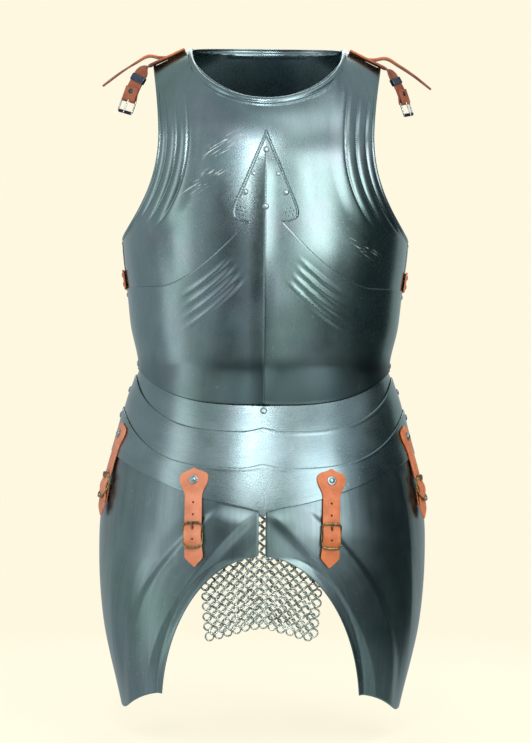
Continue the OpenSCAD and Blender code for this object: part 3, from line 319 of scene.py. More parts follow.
class Frame:
    """A place with three axes: its points are o + x X + y Y + z Z, mirrored in X for the left side."""

    def __init__(self, origin, x, y, side=1):
        self.origin, self.axes = np.asarray(origin, float), np.array([x, y, np.cross(x, y)])
        self.side = side

    def at(self, points):
        return (self.origin + np.asarray(points, float) @ self.axes) * (self.side, 1, 1)

    def carry(self, solid):
        verts, groups = solid
        return self.at(verts), [g[:, ::-1] for g in groups] if self.side < 0 else groups


def sided(solid, side):
    """The solid, or its mirror image for the left side."""
    return Frame(np.zeros(3), (1, 0, 0), (0, 1, 0), side).carry(solid)


def joined(solids):
    """Several solids as one, with the faces grouped by their number of corners."""
    groups, start = {}, 0
    for verts, faces in solids:
        for group in faces:
            groups.setdefault(group.shape[1], []).append(group + start)
        start += len(verts)
    return np.concatenate([verts for verts, _ in solids]), [np.concatenate(g) for g in groups.values()]


def ring_faces(rows, sides, closed=False):
    """Quads between neighbouring rings of a tube, and triangles to a pole at each open end.

    Rings come first; the poles of the first and last ring are the two points after them."""
    k = np.arange(sides)
    after = (k + 1) % sides
    i = np.arange(rows if closed else rows - 1)[:, None] * sides
    j = (i + sides) % (rows * sides)
    quads = np.stack([i + k, i + after, j + after, j + k], -1).reshape(-1, 4)
    if closed:
        return [quads]
    low, high = rows * sides, (rows - 1) * sides
    caps = [np.stack([np.full(sides, low), after, k], -1),
            np.stack([np.full(sides, low + 1), high + k, high + after], -1)]
    return [quads, np.concatenate(caps)]


def turned(profile, sides=32):
    """A solid turned round Z: (r cos f, r sin f, h) for (r, h) from its foot to its top, both on the axis."""
    r, h = np.array(profile, float).T
    f = 2 * np.pi * np.arange(sides) / sides
    rings = np.stack([r[1:-1, None] * np.cos(f), r[1:-1, None] * np.sin(f),
                      np.broadcast_to(h[1:-1, None], (len(r) - 2, sides))], -1)
    poles = [[0, 0, h[0]], [0, 0, h[-1]]]
    return np.concatenate([rings.reshape(-1, 3), poles]), ring_faces(len(r) - 2, sides)


def headings(path, closed=False):
    """Unit vectors along a path, from each point's neighbours."""
    if closed:
        return unit(np.roll(path, -1, 0) - np.roll(path, 1, 0))
    return unit(np.gradient(path, axis=0))


def swept(path, across, half_a, half_b, sides=16, closed=False, box=1.0):
    """A section carried along a path: p + a cos f A + b sin f B, with B square to the path and A.

    A box below 1 is the power of the sine and cosine, which squares the section."""
    forward = headings(path, closed)
    a_axis = unit(across - np.sum(across * forward, -1, keepdims=True) * forward)
    b_axis = np.cross(forward, a_axis)
    f = 2 * np.pi * np.arange(sides) / sides
    c, s = (np.sign(v) * np.abs(v) ** box for v in (np.cos(f), np.sin(f)))
    a, b = (np.broadcast_to(np.asarray(h, float), len(path))[:, None, None] for h in (half_a, half_b))
    rings = path[:, None] + a * c[:, None] * a_axis[:, None] + b * s[:, None] * b_axis[:, None]
    verts = rings.reshape(-1, 3)
    if not closed:
        verts = np.concatenate([verts, path[[0, -1]]])
    return verts, ring_faces(len(path), sides, closed)


def gone(path):
    """Distance along the path at each of its points."""
    return np.cumsum(np.linalg.norm(np.diff(path, axis=0, prepend=path[:1]), axis=1))


def sampled(at, places, values):
    """Rows of values given at places, read off between them."""
    return np.stack([np.interp(at, places, column) for column in values.T], -1)


def resampled(path, count, closed=False):
    """The same path with its points at even distances."""
    p = np.concatenate([path, path[:1]]) if closed else path
    s = gone(p)
    at = np.linspace(0, s[-1], count + 1)[:-1] if closed else np.linspace(0, s[-1], count)
    return sampled(at, s, p)


def rounded_loop(half_u, low, high, r, count):
    """Outline (u, v) of a rectangle with corners of radius r: four quarter circles joined by straights."""
    f = np.radians(np.linspace(0, 90, 10))
    arcs = []
    for k, (u, v) in enumerate([(half_u - r, high - r), (r - half_u, high - r), (r - half_u, low + r),
                                (half_u - r, low + r)]):
        arcs.append(np.stack([u + r * np.cos(f + k * np.pi / 2), v + r * np.sin(f + k * np.pi / 2)], -1))
    return resampled(np.concatenate(arcs), count, True)


def curve(knots, s):
    """A Catmull-Rom curve through the knots at the places s, counted in knots."""
    p = np.array(knots, float)
    last = len(p) - 1
    i = np.clip(np.floor(s).astype(int), 0, last - 1)
    t = (s - i)[:, None]
    a, b, c, d = p[np.maximum(i - 1, 0)], p[i], p[i + 1], p[np.minimum(i + 2, last)]
    return 0.5 * (2 * b + (c - a) * t + (2 * a - 5 * b + 4 * c - d) * t ** 2
                  + (3 * b - a - 3 * c + d) * t ** 3)


def eased(values, reach):
    """A running mean over reach places to either side, taken twice, which rounds off bends."""
    kernel = np.ones(2 * reach + 1) / (2 * reach + 1)
    for _ in range(2):
        values = np.convolve(np.pad(values, reach, mode="reflect", reflect_type="odd"), kernel, "valid")
    return values


# Distance between a strap's rows, its columns, and how many times its own size a hole draws in the grid
STRAP_STEP, STRAP_COLUMNS, HOLE_REACH = 0.75, 28, 2.2


def strap(path, across, width, t, holes=(), hug=0.0, swell=None):
    """A flat strap along the middle line of its outer face: p(v) + u A(v), with u up to the half width.

    width is a function of the distance v that gives half of it, or the whole width as a number. Each hole
    is (v, u, half length, half width): the cells inside it are left out and the grid round it is drawn
    onto its ellipse. hug is the radius that the strap bends to across its width."""
    old = gone(path)
    p = resampled(path, max(8, int(old[-1] / STRAP_STEP)))
    s = gone(p)
    side = unit(sampled(s, old, np.broadcast_to(across, path.shape)))
    t = np.interp(s, old, np.broadcast_to(np.asarray(t, float), len(path)))
    half = np.broadcast_to(width(s) if callable(width) else width / 2, len(s))
    v, share = np.broadcast_arrays(s[:, None], np.linspace(-1, 1, STRAP_COLUMNS + 1)[None])
    u = share * half[:, None]
    keep = np.ones((len(s) - 1, STRAP_COLUMNS), bool)
    for v0, u0, half_v, half_u in holes:
        row = int(np.argmin(np.abs(s - v0)))
        col = int(np.argmin(np.abs(share[row] * half[row] - u0)))
        cells = np.maximum(1, np.round([half_v / STRAP_STEP, half_u * STRAP_COLUMNS / (2 * half[row])]))
        i = (np.arange(len(s))[:, None] - row) / cells[0]
        j = (np.arange(STRAP_COLUMNS + 1)[None] - col) / cells[1]
        reach = np.maximum(np.abs(i), np.abs(j))
        size = np.maximum(np.hypot(i, j), 1e-9)
        blend = clamp01((reach - 1) / (HOLE_REACH - 1))
        near = reach < HOLE_REACH
        v = np.where(near, mix(v0 + half_v * i / size, v, blend), v)
        u = np.where(near, mix(u0 + half_u * j / size, u, blend), u)
        centre = np.maximum(np.abs(i[:-1] + 0.5 / cells[0]), np.abs(j[:, :-1] + 0.5 / cells[1]))
        keep &= centre > 1
    side = unit(sampled(v, s, side))
    out = unit(np.cross(side, unit(sampled(v, s, headings(p)))))
    points = sampled(v, s, p) + u[..., None] * side
    if hug:
        points -= (u ** 2 / (2 * hug))[..., None] * out
        out = unit(out + (u / hug)[..., None] * side)
    quads = grid_quads(*v.shape, keep)
    verts, faces, _ = shell(points.reshape(-1, 3), out.reshape(-1, 3), quads, np.repeat(t, v.shape[1]), swell)
    return verts, [faces]


def solid_piece(name, solid, body, material, slot, *nodes):
    """A piece from its points and faces."""
    return finish_piece(make_mesh(name, *solid), body, finish(material), slot, *nodes)


# Shader maths

class Signal:
    """A socket of a material's nodes; arithmetic on signals adds Math nodes."""

    def __init__(self, paint, socket):
        self.paint, self.socket = paint, socket

    def math(self, operation, *others):
        return self.paint.add("Math", {"operation": operation}, dict(enumerate((self, *others))))

    def __add__(self, other):
        return self.math("ADD", other)

    def __sub__(self, other):
        return self.math("SUBTRACT", other)

    def __rsub__(self, other):
        return self.paint.add("Math", {"operation": "SUBTRACT"}, {0: other, 1: self})

    def __mul__(self, other):
        return self.math("MULTIPLY", other)

    __radd__, __rmul__ = __add__, __mul__

    def clamped(self):
        return self.paint.add("Clamp", {}, {"Value": self})

    def over(self, low, high):
        """0 below low, 1 above high, smooth between."""
        return self.paint.add("MapRange", {"interpolation_type": "SMOOTHSTEP"},
                              {"Value": self, "From Min": low, "From Max": high})


class Paint:
    """Builds one material's nodes; each call returns the new node's first used output."""

    def __init__(self, name, owner=None):
        self.material = owner or bpy.data.materials.new(name)
        self.material.use_nodes = True
        self.tree = self.material.node_tree
        self.tree.nodes.clear()

    def add(self, kind, settings=None, inputs=None, output=0):
        node = self.tree.nodes.new("ShaderNode" + kind)
        for key, value in (settings or {}).items():
            if key == "stops":
                ramp = node.color_ramp
                while len(ramp.elements) < len(value):
                    ramp.elements.new(0.5)
                for element, (place, colour) in zip(ramp.elements, value):
                    element.position, element.color = place, (*colour, 1.0)
            else:
                setattr(node, key, value)
        for key, value in (inputs or {}).items():
            self.feed(node.inputs[key], value)
        return Signal(self, node.outputs[output])

    def feed(self, socket, value):
        if isinstance(value, Signal):
            self.tree.links.new(value.socket, socket)
        elif socket.type == "RGBA":
            socket.default_value = (*value, 1.0)
        else:
            socket.default_value = value

    def place(self):
        return self.add("TexCoord", output="Object")

    def lay(self):
        return self.add("Attribute", {"attribute_name": "lay"}, output="Vector")

    def stretched(self, vector, scale, turn=(0.0, 0.0, 0.0)):
        """The vector turned first and scaled along its new axes."""
        if any(turn):
            vector = self.add("Mapping", {}, {"Vector": vector, "Rotation": turn})
        return self.add("Mapping", {}, {"Vector": vector, "Scale": scale})

    def noise(self, vector, scale, detail=3.0, rough=0.5):
        return self.add("TexNoise", {}, {"Vector": vector, "Scale": scale, "Detail": detail,
                                         "Roughness": rough}, "Fac")

    def blend(self, factor, first, second, how="MIX"):
        """Mixes two colours by factor; a colour mix has them at its sockets 6 and 7."""
        return self.add("Mix", {"data_type": "RGBA", "blend_type": how}, {0: factor, 6: first, 7: second}, 2)

    def ramp(self, factor, stops):
        return self.add("ValToRGB", {"stops": stops}, {"Fac": factor}, "Color")

    def bump(self, height, distance, strength):
        return self.add("Bump", {}, {"Height": height, "Distance": distance, "Strength": strength})

    def near(self, point, radius, flat=(1.0, 1.0, 1.0), turn=(0.0, 0.0, 0.0)):
        """1 at a point of the object, falling to 0 at radius; the distance is turned and then scaled."""
        shift = self.add("VectorMath", {"operation": "SUBTRACT"}, {0: self.place(), 1: point}, "Vector")
        shift = self.stretched(shift, flat, turn)
        length = self.add("VectorMath", {"operation": "LENGTH"}, {0: shift}, "Value")
        return 1.0 - length.over(0.35 * radius, radius)

    def end(self, shader, kind="Material"):
        """Links the shader to the output of a material or a world."""
        node = self.tree.nodes.new("ShaderNodeOutput" + kind)
        self.tree.links.new(shader.socket, node.inputs["Surface"])
        return self.material

    def surface(self, sockets):
        """Ends the material in a Principled shader with these sockets."""
        return self.end(self.add("BsdfPrincipled", {}, sockets))


made = {}


def finish(name):
    """The material of this name, made once from its row in FINISHES."""
    if name not in made:
        make, *values = FINISHES[name]
        made[name] = make(name, bpy.context.scene.cuirass_finish, *values)
    return made[name]


# Shades that multiply the steel in its clouds and, as painted shade, below the waist, and the colour of its
# scuffs
CLOUD_SHADE, PAINTED_DUSK_SHADE, SCUFF_COLOUR = (0.36, 0.38, 0.38), (0.2, 0.23, 0.23), (0.85, 0.9, 0.9)


def clouded_steel(name, looks, grain, smears, streak, shade, matt=0.0, scuffs=(), painted_dusk=0.0):
    """Bare hand-worked steel: drifting blue, green and violet tints, brushing along the lay, fine scratches.

    grain and smears are the fineness of the brushing and of the broad smears across and along the lay,
    streak is the brushing's strength and a low shade darkens the plate; the last argument paints shade
    where the plate flares below the waist. Each scuff is a place, its radius and the direction of its
    scratches."""
    p = Paint(name)
    place, lay = p.place(), p.lay()
    drift = p.noise(p.stretched(place, (7, 7, 4)), 1.0, 3, 0.5)
    mottle = p.noise(place, 30.0, 4, 0.6)
    smear = p.noise(p.stretched(lay, smears), 1.0, 4, 0.55)
    brushed = p.noise(p.stretched(lay, grain), 1.0, 3, 0.65)
    fine = p.noise(p.stretched(lay, (grain[0] * 2.6, grain[1] * 2.2, 1)), 1.0, 2, 0.6)
    colour = p.ramp(drift, [(0.32, looks.steel_blue), (0.5, looks.steel_grey), (0.66, looks.steel_green)])
    violet = p.noise(p.stretched(place, (9, 9, 7), (0.3, 0.9, 0.2)), 1.0, 3).over(0.54, 0.7)
    colour = p.blend(violet * 0.5, colour, looks.steel_violet)
    tone = (mottle - 0.5) * 0.3 + (smear - 0.5) * 0.9 + (brushed - 0.5) * streak + shade
    colour = p.blend(tone.clamped(), p.blend(1.0, colour, CLOUD_SHADE, "MULTIPLY"), colour)
    x, z = (p.add("SeparateXYZ", {}, {"Vector": place}, axis) for axis in "XZ")
    # Painted shade: where the plate flares below the waist and reflects the bright lamps, its colour is
    # darkened, less on the viewer's left, as much as the last argument asks
    low = 1.0 - z.over(-0.006, 0.018) * 0.6 - z.over(-0.01, 0.07) * 0.4
    low = low * (0.35 + x.over(-0.1, -0.03) * 0.65) * painted_dusk
    colour = p.blend(low, colour, p.blend(1.0, colour, PAINTED_DUSK_SHADE, "MULTIPLY"))
    scratch = p.noise(p.stretched(lay, (90, 1400, 1), (0, 0, 0.5)), 1.0, 1, 0.3).over(0.72, 0.78)
    nick = p.noise(p.stretched(lay, (1200, 60, 1), (0, 0, 0.25)), 1.0, 1, 0.3).over(0.74, 0.79)
    marks = (scratch + nick) * p.noise(place, 14.0, 2).over(0.48, 0.62)
    scuff = 0.0
    for point, radius, turn in scuffs:
        lines = p.noise(p.stretched(place, (45, 45, 650), (0, turn, 0)), 1.0, 2, 0.5).over(0.58, 0.63)
        scuff = p.near(point, radius, (1, 1, 3), (0, turn, 0)) * lines + scuff
    marks = marks.clamped()
    colour = p.blend(marks * 0.5, colour, looks.bare_metal)
    if scuffs:
        scuff = scuff.clamped()
        colour = p.blend(scuff * 0.85, colour, SCUFF_COLOUR)
    rough = (looks.steel_roughness + matt + (mottle - 0.5) * 0.14 + (fine - 0.5) * 0.1 + marks * 0.12
             + low * 0.12 + scuff * 0.35)
    height = (brushed - 0.5) * 0.6 + (fine - 0.5) * 0.4 + (mottle - 0.5) * 0.12 - marks * 0.5
    return p.surface({"Base Color": colour, "Metallic": 1.0, "Roughness": rough,
                      "Normal": p.bump(height, 0.0001, 0.2)})


def filed_steel(name, looks):
    """Filed rivet heads: brighter steel with small pits."""
    p = Paint(name)
    pits = p.noise(p.place(), 900.0, 3, 0.6)
    colour = p.blend(pits.over(0.35, 0.7) * 0.6, looks.steel_grey, looks.bare_metal)
    return p.surface({"Base Color": colour, "Metallic": 1.0, "Roughness": 0.34 + (pits - 0.5) * 0.2,
                      "Normal": p.bump(pits, 0.0001, 0.6)})


def leather(name, looks, pale, deep, worn, top=""):
    """Oiled leather: pores, fine creases, and a paler or darker stain that drifts over the strap; the colour
    top is that of straps that lie on the shoulders."""
    p = Paint(name)
    pale, deep = getattr(looks, pale), getattr(looks, deep)
    place = p.place()
    stain = p.noise(place, 42.0, 4, 0.6)
    pore = p.add("TexVoronoi", {"feature": "F1"}, {"Vector": place, "Scale": 900.0})
    crease = p.noise(p.stretched(place, (350, 350, 700)), 1.0, 4, 0.7)
    colour = p.blend(stain.over(0.3, 0.72), pale, deep)
    if top:
        high = p.add("SeparateXYZ", {}, {"Vector": place}, "Z").over(0.388, 0.4)
        colour = p.blend(high, colour, p.blend(stain.over(0.3, 0.9), getattr(looks, top), pale))
    colour = p.blend((1.0 - pore.over(0.12, 0.4)) * 0.45, colour, deep)
    colour = p.blend(crease.over(0.6, 0.8) * worn, colour, pale)
    height = pore * 0.5 + crease * 0.8
    return p.surface({"Base Color": colour, "Roughness": 0.52 + (crease - 0.5) * 0.3,
                      "Normal": p.bump(height, 0.0003, 0.55)})


def metal(name, looks, bright, dull, rough, spread):
    """Cast or drawn metal with a dull skin in some places and rubbed bright in others, laid out by noise."""
    p = Paint(name)
    bright, dull = getattr(looks, bright), getattr(looks, dull)
    place = p.place()
    skin_noise = p.noise(place, 420.0, 4, 0.65)
    broad = p.noise(place, 70.0, 3)
    colour = p.blend((skin_noise * 0.6 + broad * 0.4).over(0.5 - spread, 0.5 + spread), dull, bright)
    return p.surface({"Base Color": colour, "Metallic": 1.0, "Roughness": rough + (skin_noise - 0.5) * 0.25,
                      "Normal": p.bump(skin_noise, 0.00015, 0.5)})


# Scratched places of the breast plates
SCUFFS = [((-0.054, -0.13, 0.272), 0.038, 0.56), ((-0.078, -0.135, 0.228), 0.042, 0.57),
          ((0.122, -0.115, 0.146), 0.036, -0.5)]
# How each finish is made, with its colours by their names in CuirassFinish
FINISHES = {
    # The breast steel's last value paints shade where the plate flares below the waist
    "breast_steel": (clouded_steel, (420, 60, 1), (22, 5, 1), 0.22, 0.72, 0.0, SCUFFS, 1.0),
    "lame_steel": (clouded_steel, (26, 900, 1), (9, 20, 1), 0.5, 0.75),
    "tasset_steel": (clouded_steel, (380, 9, 1), (34, 4, 1), 0.5, 0.5, 0.04),
    "rivet_steel": (filed_steel,),
    "salmon_leather": (leather, "leather_salmon", "leather_salmon_deep", 0.3),
    "orange_leather": (leather, "leather_orange", "leather_orange_deep", 0.3),
    "brown_leather": (leather, "leather_brown", "leather_brown_deep", 0.6, "leather_orange"),
    "antique_brass": (metal, "brass", "brass_dull", 0.32, 0.14),
    "nickel": (metal, "nickel", "nickel_dull", 0.2, 0.2),
    # The mail's dull colour is partly dull wire and partly painted shade between the rings, laid out by noise
    "mail_wire": (metal, "mail", "mail_dull", 0.2, 0.16),
    # The keepers' dark navy is painted reflection: their bright metal is coloured with the dark surroundings
    # that it reflects
    "blued_keeper": (metal, "blued", "blued_dull", 0.3, 0.2),
    "black_roller": (metal, "black", "blued_dull", 0.42, 0.2),
}


def tint(name, note, colour):
    return bpy.props.FloatVectorProperty(name=name, description=note, default=colour,
                                         subtype="COLOR", size=3, min=0.0, max=1.0)


class CuirassFinish(bpy.types.PropertyGroup):
    steel_blue: tint("Blue steel", "Bluish areas of the plates", (0.23, 0.32, 0.35))
    steel_grey: tint("Grey steel", "Neutral areas of the plates", (0.27, 0.35, 0.36))
    steel_green: tint("Green steel", "Greenish areas of the plates", (0.22, 0.33, 0.31))
    steel_violet: tint("Violet steel", "Heat-tinted areas of the plates", (0.31, 0.31, 0.38))
    bare_metal: tint("Bare metal", "Scratches and filed heads", (0.62, 0.68, 0.68))
    leather_salmon: tint("Salmon leather", "Pale side of the left straps", (0.58, 0.215, 0.115))
    leather_salmon_deep: tint("Deep salmon leather", "Deep side of the left straps", (0.42, 0.125, 0.055))
    leather_orange: tint("Orange leather", "Pale side of the right straps", (0.58, 0.165, 0.05))
    leather_orange_deep: tint("Deep orange leather", "Deep side of the right straps", (0.38, 0.09, 0.025))
    leather_brown: tint("Brown leather", "Pale side of the shoulder straps", (0.31, 0.085, 0.03))
    leather_brown_deep: tint("Deep brown leather", "Deep side of the shoulder straps", (0.13, 0.03, 0.013))
    brass: tint("Brass", "Rubbed places of the buckles", (0.42, 0.33, 0.14))
    brass_dull: tint("Dull brass", "Hollows of the buckles", (0.10, 0.075, 0.035))
    nickel: tint("Nickel", "Bright places of the shoulder buckles", (0.78, 0.78, 0.74))
    nickel_dull: tint("Dull nickel", "Dull places of the shoulder buckles", (0.40, 0.41, 0.40))
    mail: tint("Mail", "Bright places of the rings", (0.78, 0.82, 0.76))
    # Dull mail: partly dull wire, partly painted shade for the dark places between the rings
    mail_dull: tint("Dull mail", "Dull places of the rings", (0.14, 0.20, 0.18))
    # Painted reflection: the keepers' metal is coloured dark navy, like the dark surroundings that it
    # reflects
    blued: tint("Keeper reflection", "Bright places of the keepers", (0.10, 0.13, 0.17))
    blued_dull: tint("Dark navy", "Dull places of the keepers", (0.03, 0.04, 0.06))
    black: tint("Black roller", "Rollers of the shoulder buckles", (0.03, 0.03, 0.028))
    steel_roughness: bpy.props.FloatProperty(name="Steel roughness", description="Roughness of the plates",
                                             default=0.27, min=0.05, max=0.8, subtype="FACTOR")


def size_of(name, note, millimetres):
    return bpy.props.FloatProperty(name=name, description=note, default=millimetres * MM,
                                   min=0.0, unit="LENGTH", subtype="DISTANCE", precision=5)


class CuirassForms(bpy.types.PropertyGroup):
    bead_h: size_of("Neck roll height", "Height of the rolled neck edge", 2.6)
    rim_h: size_of("Armhole rim height", "Height of the turned armhole rim", 2.2)
    flute_h: size_of("Flute height", "Height of the flutes beside the armholes", 2.0)
    keel_h: size_of("Keel height", "Height of the medial keel", 2.5)
    fan_h: size_of("Fan height", "Height of the fan of ridges on the plackart", 1.1)
    crease_h: size_of("Crease height", "Height of the tasset creases", 1.8)
    flange_h: size_of("Flange height", "Rise of the tassets' turned inner edge", 1.7)


class CuirassStage(bpy.types.PropertyGroup):
    distance: size_of("Camera distance", "Distance of the camera from the side line", 3000.0)
    image_step: size_of("Image step", "Size of one pixel in the side line's plane", 1.3)
    floor_z: bpy.props.FloatProperty(name="Floor height", description="Height of the floor",
                                     default=-0.475, unit="LENGTH", subtype="DISTANCE")
    backdrop: tint("Backdrop", "Colour of the backdrop", (0.991, 0.938, 0.753))
    lean: bpy.props.FloatProperty(name="Lean", description="Turn of the camera round its view",
                                  default=0.0105, unit="ROTATION", subtype="ANGLE")


# Armhole and top edges of the breast and back plates

# The armhole is narrowest this far above the armpit
ARMHOLE_RISE = 127


def edge_half_w(z):
    """Half width of the plate's front at each height; above the armpit it draws in to the armhole."""
    s = clamp01((z - ARMPIT_Z) / ARMHOLE_RISE)
    up = clamp01((z - ARMPIT_Z - ARMHOLE_RISE) / (SHOULDER_Z - SHOULDER_DROP - ARMPIT_Z - ARMHOLE_RISE))
    drawn = mix(ARMHOLE_W, half_w(z), (1 - s) ** 2.1) + (SHOULDER_W - ARMHOLE_W) * up ** 1.5
    return np.where(z <= ARMPIT_Z, half_w(z), drawn)


def edge_angle(z):
    """Angle of the plate's edge: the side line up to the armpit, then the armhole."""
    return np.where(z <= ARMPIT_Z, 90.0, angle_at(edge_half_w(z), z))


TOP_W = ARMPIT_W - 14
TOP_ANGLE = float(angle_at(SHOULDER_W, SHOULDER_Z))
NECK_U = float(angle_at(NECK_W, SHOULDER_Z)) / TOP_ANGLE
# The flutes' field begins 7 mm outside the neck's corner
FLUTE_U = float(angle_at(NECK_W + 7, SHOULDER_Z)) / TOP_ANGLE


def top_x(u):
    """Half width of the top edge at the share u of the edge's angle: w |sin|^e."""
    return TOP_W * np.sin(np.radians(np.abs(u) * TOP_ANGLE)) ** SECTION_E


def top_z(u, low_z):
    """Top edge: an arc along the neck down to low_z, then the slanting shoulder."""
    x = top_x(u)
    neck = SHOULDER_Z - (SHOULDER_Z - low_z) * np.sqrt(np.maximum(0, 1 - (x / NECK_W) ** 2))
    shoulder = SHOULDER_Z - SHOULDER_DROP * (x - NECK_W) / (SHOULDER_W - NECK_W)
    return np.where(np.abs(u) <= NECK_U + 1e-9, neck, shoulder)


def torso_columns(neck_count, flute_count):
    """Shares of the edge angle: even steps round the neck's arc, then even steps to the rim."""
    x = NECK_W * np.sin(np.linspace(0, np.pi / 2, neck_count + 1))[1:]
    neck = np.degrees(np.arcsin((x / TOP_W) ** (1 / SECTION_E))) / TOP_ANGLE
    half = np.concatenate([neck, np.linspace(NECK_U, 1, flute_count + 1)[1:]])
    return np.concatenate([-half[::-1], [0.0], half])


def rising_rows(low, high, count, lip, lip_count):
    """Heights of the rows of a plate: even below, and closer in the last lip below the top edge."""
    s = np.linspace(0, 1, count)[:, None]
    t = np.linspace(0, 1, lip_count + 1)[1:, None]
    return np.concatenate([low + (high - lip - low) * s, high - lip + lip * t])


def roll(d, at, half, height):
    """A half-round swell: height * sqrt(1 - ((d - at) / half)^2)."""
    return height * np.sqrt(np.maximum(0, 1 - ((d - at) / half) ** 2))


def neck_distance(x, z):
    """Distance below the neck's ellipse to first order: (g - 1) / |grad g|, g = (x/a)^2 + (z/b)^2."""
    a, b = NECK_W, SHOULDER_Z - NECK_Z
    up = z - SHOULDER_Z
    g = (x / a) ** 2 + (up / b) ** 2
    return (g - 1) / np.maximum(2 * np.hypot(x / a ** 2, up / b ** 2), 1e-4)


# Shares of the flutes' field: the width of one, and where the first starts
FLUTE_STEP, FLUTE_START = 0.305, 0.09
# The flutes end this far below the shoulder, and the outermost by the slant lower
FLUTE_TOP, FLUTE_SLANT = 64, 22


def armhole_relief(u, z, forms):
    """Three half-round flutes with sharp grooves between them, and the turned rim beside them."""
    s = (np.abs(u) - FLUTE_U) / (1 - FLUTE_U)
    count = np.floor((s - FLUTE_START) / FLUTE_STEP)
    t = (s - FLUTE_START) / FLUTE_STEP - count
    flutes = np.where(s > FLUTE_START, 1 - np.abs(2 * t - 1) ** 2.4, 0)
    shoulder_swell = 0.75 * smooth((s + 0.3) / 0.34) * (1 - smooth((s - 0.045) / 0.045))
    flutes = np.where(s > FLUTE_START, flutes, shoulder_swell)
    top = SHOULDER_Z - FLUTE_TOP - FLUTE_SLANT * s
    length = smooth((z - ARMPIT_Z) / 42) * (1 - smooth((z - top) / 24))
    rim = roll(s, 0.955, 0.045, forms.rim_h / MM) * smooth((z - ARMPIT_Z + 10) / 16)
    return forms.flute_h / MM * flutes * length * (1 - smooth((s - 0.87) / 0.05)) + rim


NOTCH_Z, NOTCH_W, PLACKART_SIDE_Z, TIP_Z = 177.0, 21.0, 97.0, 292.0
BREAST_LOW, BREAST_SIDE_LOW, BREAST_LAP = -50.0, -6.0, 30.0


def plackart_top(x):
    """The plackart's top edge: a concave curve from the finial's notches down to the sides."""
    s = clamp01((np.abs(x) - NOTCH_W) / (ARMPIT_W - 46 - NOTCH_W))
    return mix(PLACKART_SIDE_Z, NOTCH_Z, (1 - s) ** 1.6)


def breast_bottom(a):
    """Lower edge of the breast, which rises to the sides with the cube of the width's share."""
    return BREAST_LOW + (BREAST_SIDE_LOW - BREAST_LOW) * width_share(a) ** 3


def upper_grid(forms):
    """The upper breast plate: u is the share of the way to the armhole's edge. Rows rise to the armpit's
    level, where they are close, and from there to the neck."""
    u = torso_columns(46, 60)
    low = plackart_top(ARMPIT_W * width_share(90 * u)) - BREAST_LAP
    top = top_z(u, NECK_Z)
    s = np.linspace(0, 1, 22)[:, None]
    z = np.concatenate([mix(low, ARMPIT_Z - 2, s[:-1]), ARMPIT_Z - 2 + 52 * s ** 1.6 + 0 * u,
                        rising_rows(ARMPIT_Z + 50, top, 62, 16, 18)[1:]])
    a = np.sign(u) * np.abs(u) * edge_angle(z)
    flat = skin(a, z)
    d = neck_distance(flat[..., 0], z)
    neck = roll(d, 3.2, 3.2, forms.bead_h / MM) + roll(d, 8.6, 1.5, 0.35 * forms.bead_h / MM)
    lip = np.where(np.abs(u) <= NECK_U + 0.02, neck, roll(top - z, 2.4, 2.4, 0.35 * forms.bead_h / MM))
    return on_skin(a, z, armhole_relief(u, z, forms) + lip)


# Half width of the finial at each height, from the notches up to the tip
FINIAL = [(177, 21), (178.2, 31), (181, 38), (186.5, 41), (195, 40), (205, 36.4), (223, 28.6), (240, 21.6),
          (253, 16.4), (271, 8.8), (284, 3.4), (291.4, 0.8)]
# Half width of the keel, and height and half width of the bead on its crest
KEEL_W, KEEL_BEAD_H, KEEL_BEAD_W = 21, 0.4, 1.6
# Depth of the fan's first ridge below the plackart's top edge, the step to the next, and their number
FAN_TOP, FAN_STEP, FAN_COUNT = 24.0, 14.0, 4
# Distances from the keel: where the first ridge starts, how much nearer each lower one does, where all
# begin to fade, and over how far
FAN_START, FAN_NEARER, FAN_END, FAN_FADE = 48, 5.6, 72, 34


def keel(x, z, height):
    """The medial keel: height * (1 - |x| / half width)^2, a crease with hollow sides and a fine bead."""
    crest = height * clamp01(1 - np.abs(x) / KEEL_W) ** 2 + KEEL_BEAD_H * ridge(x, 0, KEEL_BEAD_W)
    return crest * smooth((TIP_Z - 8 - z) / 60)


def fan(x, depth, height):
    """Ridges parallel to the plackart's top edge, steeper on their lower side; each lower one starts
    nearer to the keel. depth is the distance below that edge."""
    count = np.round((depth - FAN_TOP) / FAN_STEP)
    t = (depth - FAN_TOP) / FAN_STEP - count
    saw = np.where(t < 0, smooth(1 + 2 * t), 1 - smooth(t / 0.26)) - 0.3 * ridge(t, 0.27, 0.12)
    start = FAN_START - FAN_NEARER * count
    along_line = smooth((np.abs(x) - start + 6) / 12) * (1 - smooth((np.abs(x) - FAN_END) / FAN_FADE))
    return height * saw * along_line * ((count >= 0) & (count < FAN_COUNT))


# Middle of the pierced holes of each lobe, the radius of the ring they stand on, and their own
PIERCED, PIERCED_RING, PIERCED_R = (29.5, 188.5), 5.2, 1.15


def pierced(x, z, keep):
    """Pierces the finial's lobes: grid points inside a hole move out onto its circle, the cells between
    them are left out."""
    turn = np.radians(np.arange(0, 360, 60) + 15)
    ring = np.stack([PIERCED_RING * np.cos(turn), PIERCED_RING * np.sin(turn)], -1)
    inside = np.zeros(x.shape, bool)
    x, z = x.copy(), z.copy()
    for side in (-1, 1):
        for u, v in np.concatenate([ring, [[0, 0]]]) + PIERCED:
            dx, dz = x - side * u, z - v
            d = np.maximum(np.hypot(dx, dz), 1e-6)
            hole = d < PIERCED_R
            inside |= hole
            x, z = (np.where(hole, c + dc * PIERCED_R / d, old)
                    for c, dc, old in ((side * u, dx, x), (v, dz, z)))
    full = inside[:-1, :-1] & inside[1:, :-1] & inside[:-1, 1:] & inside[1:, 1:]
    return x, z, keep & ~full


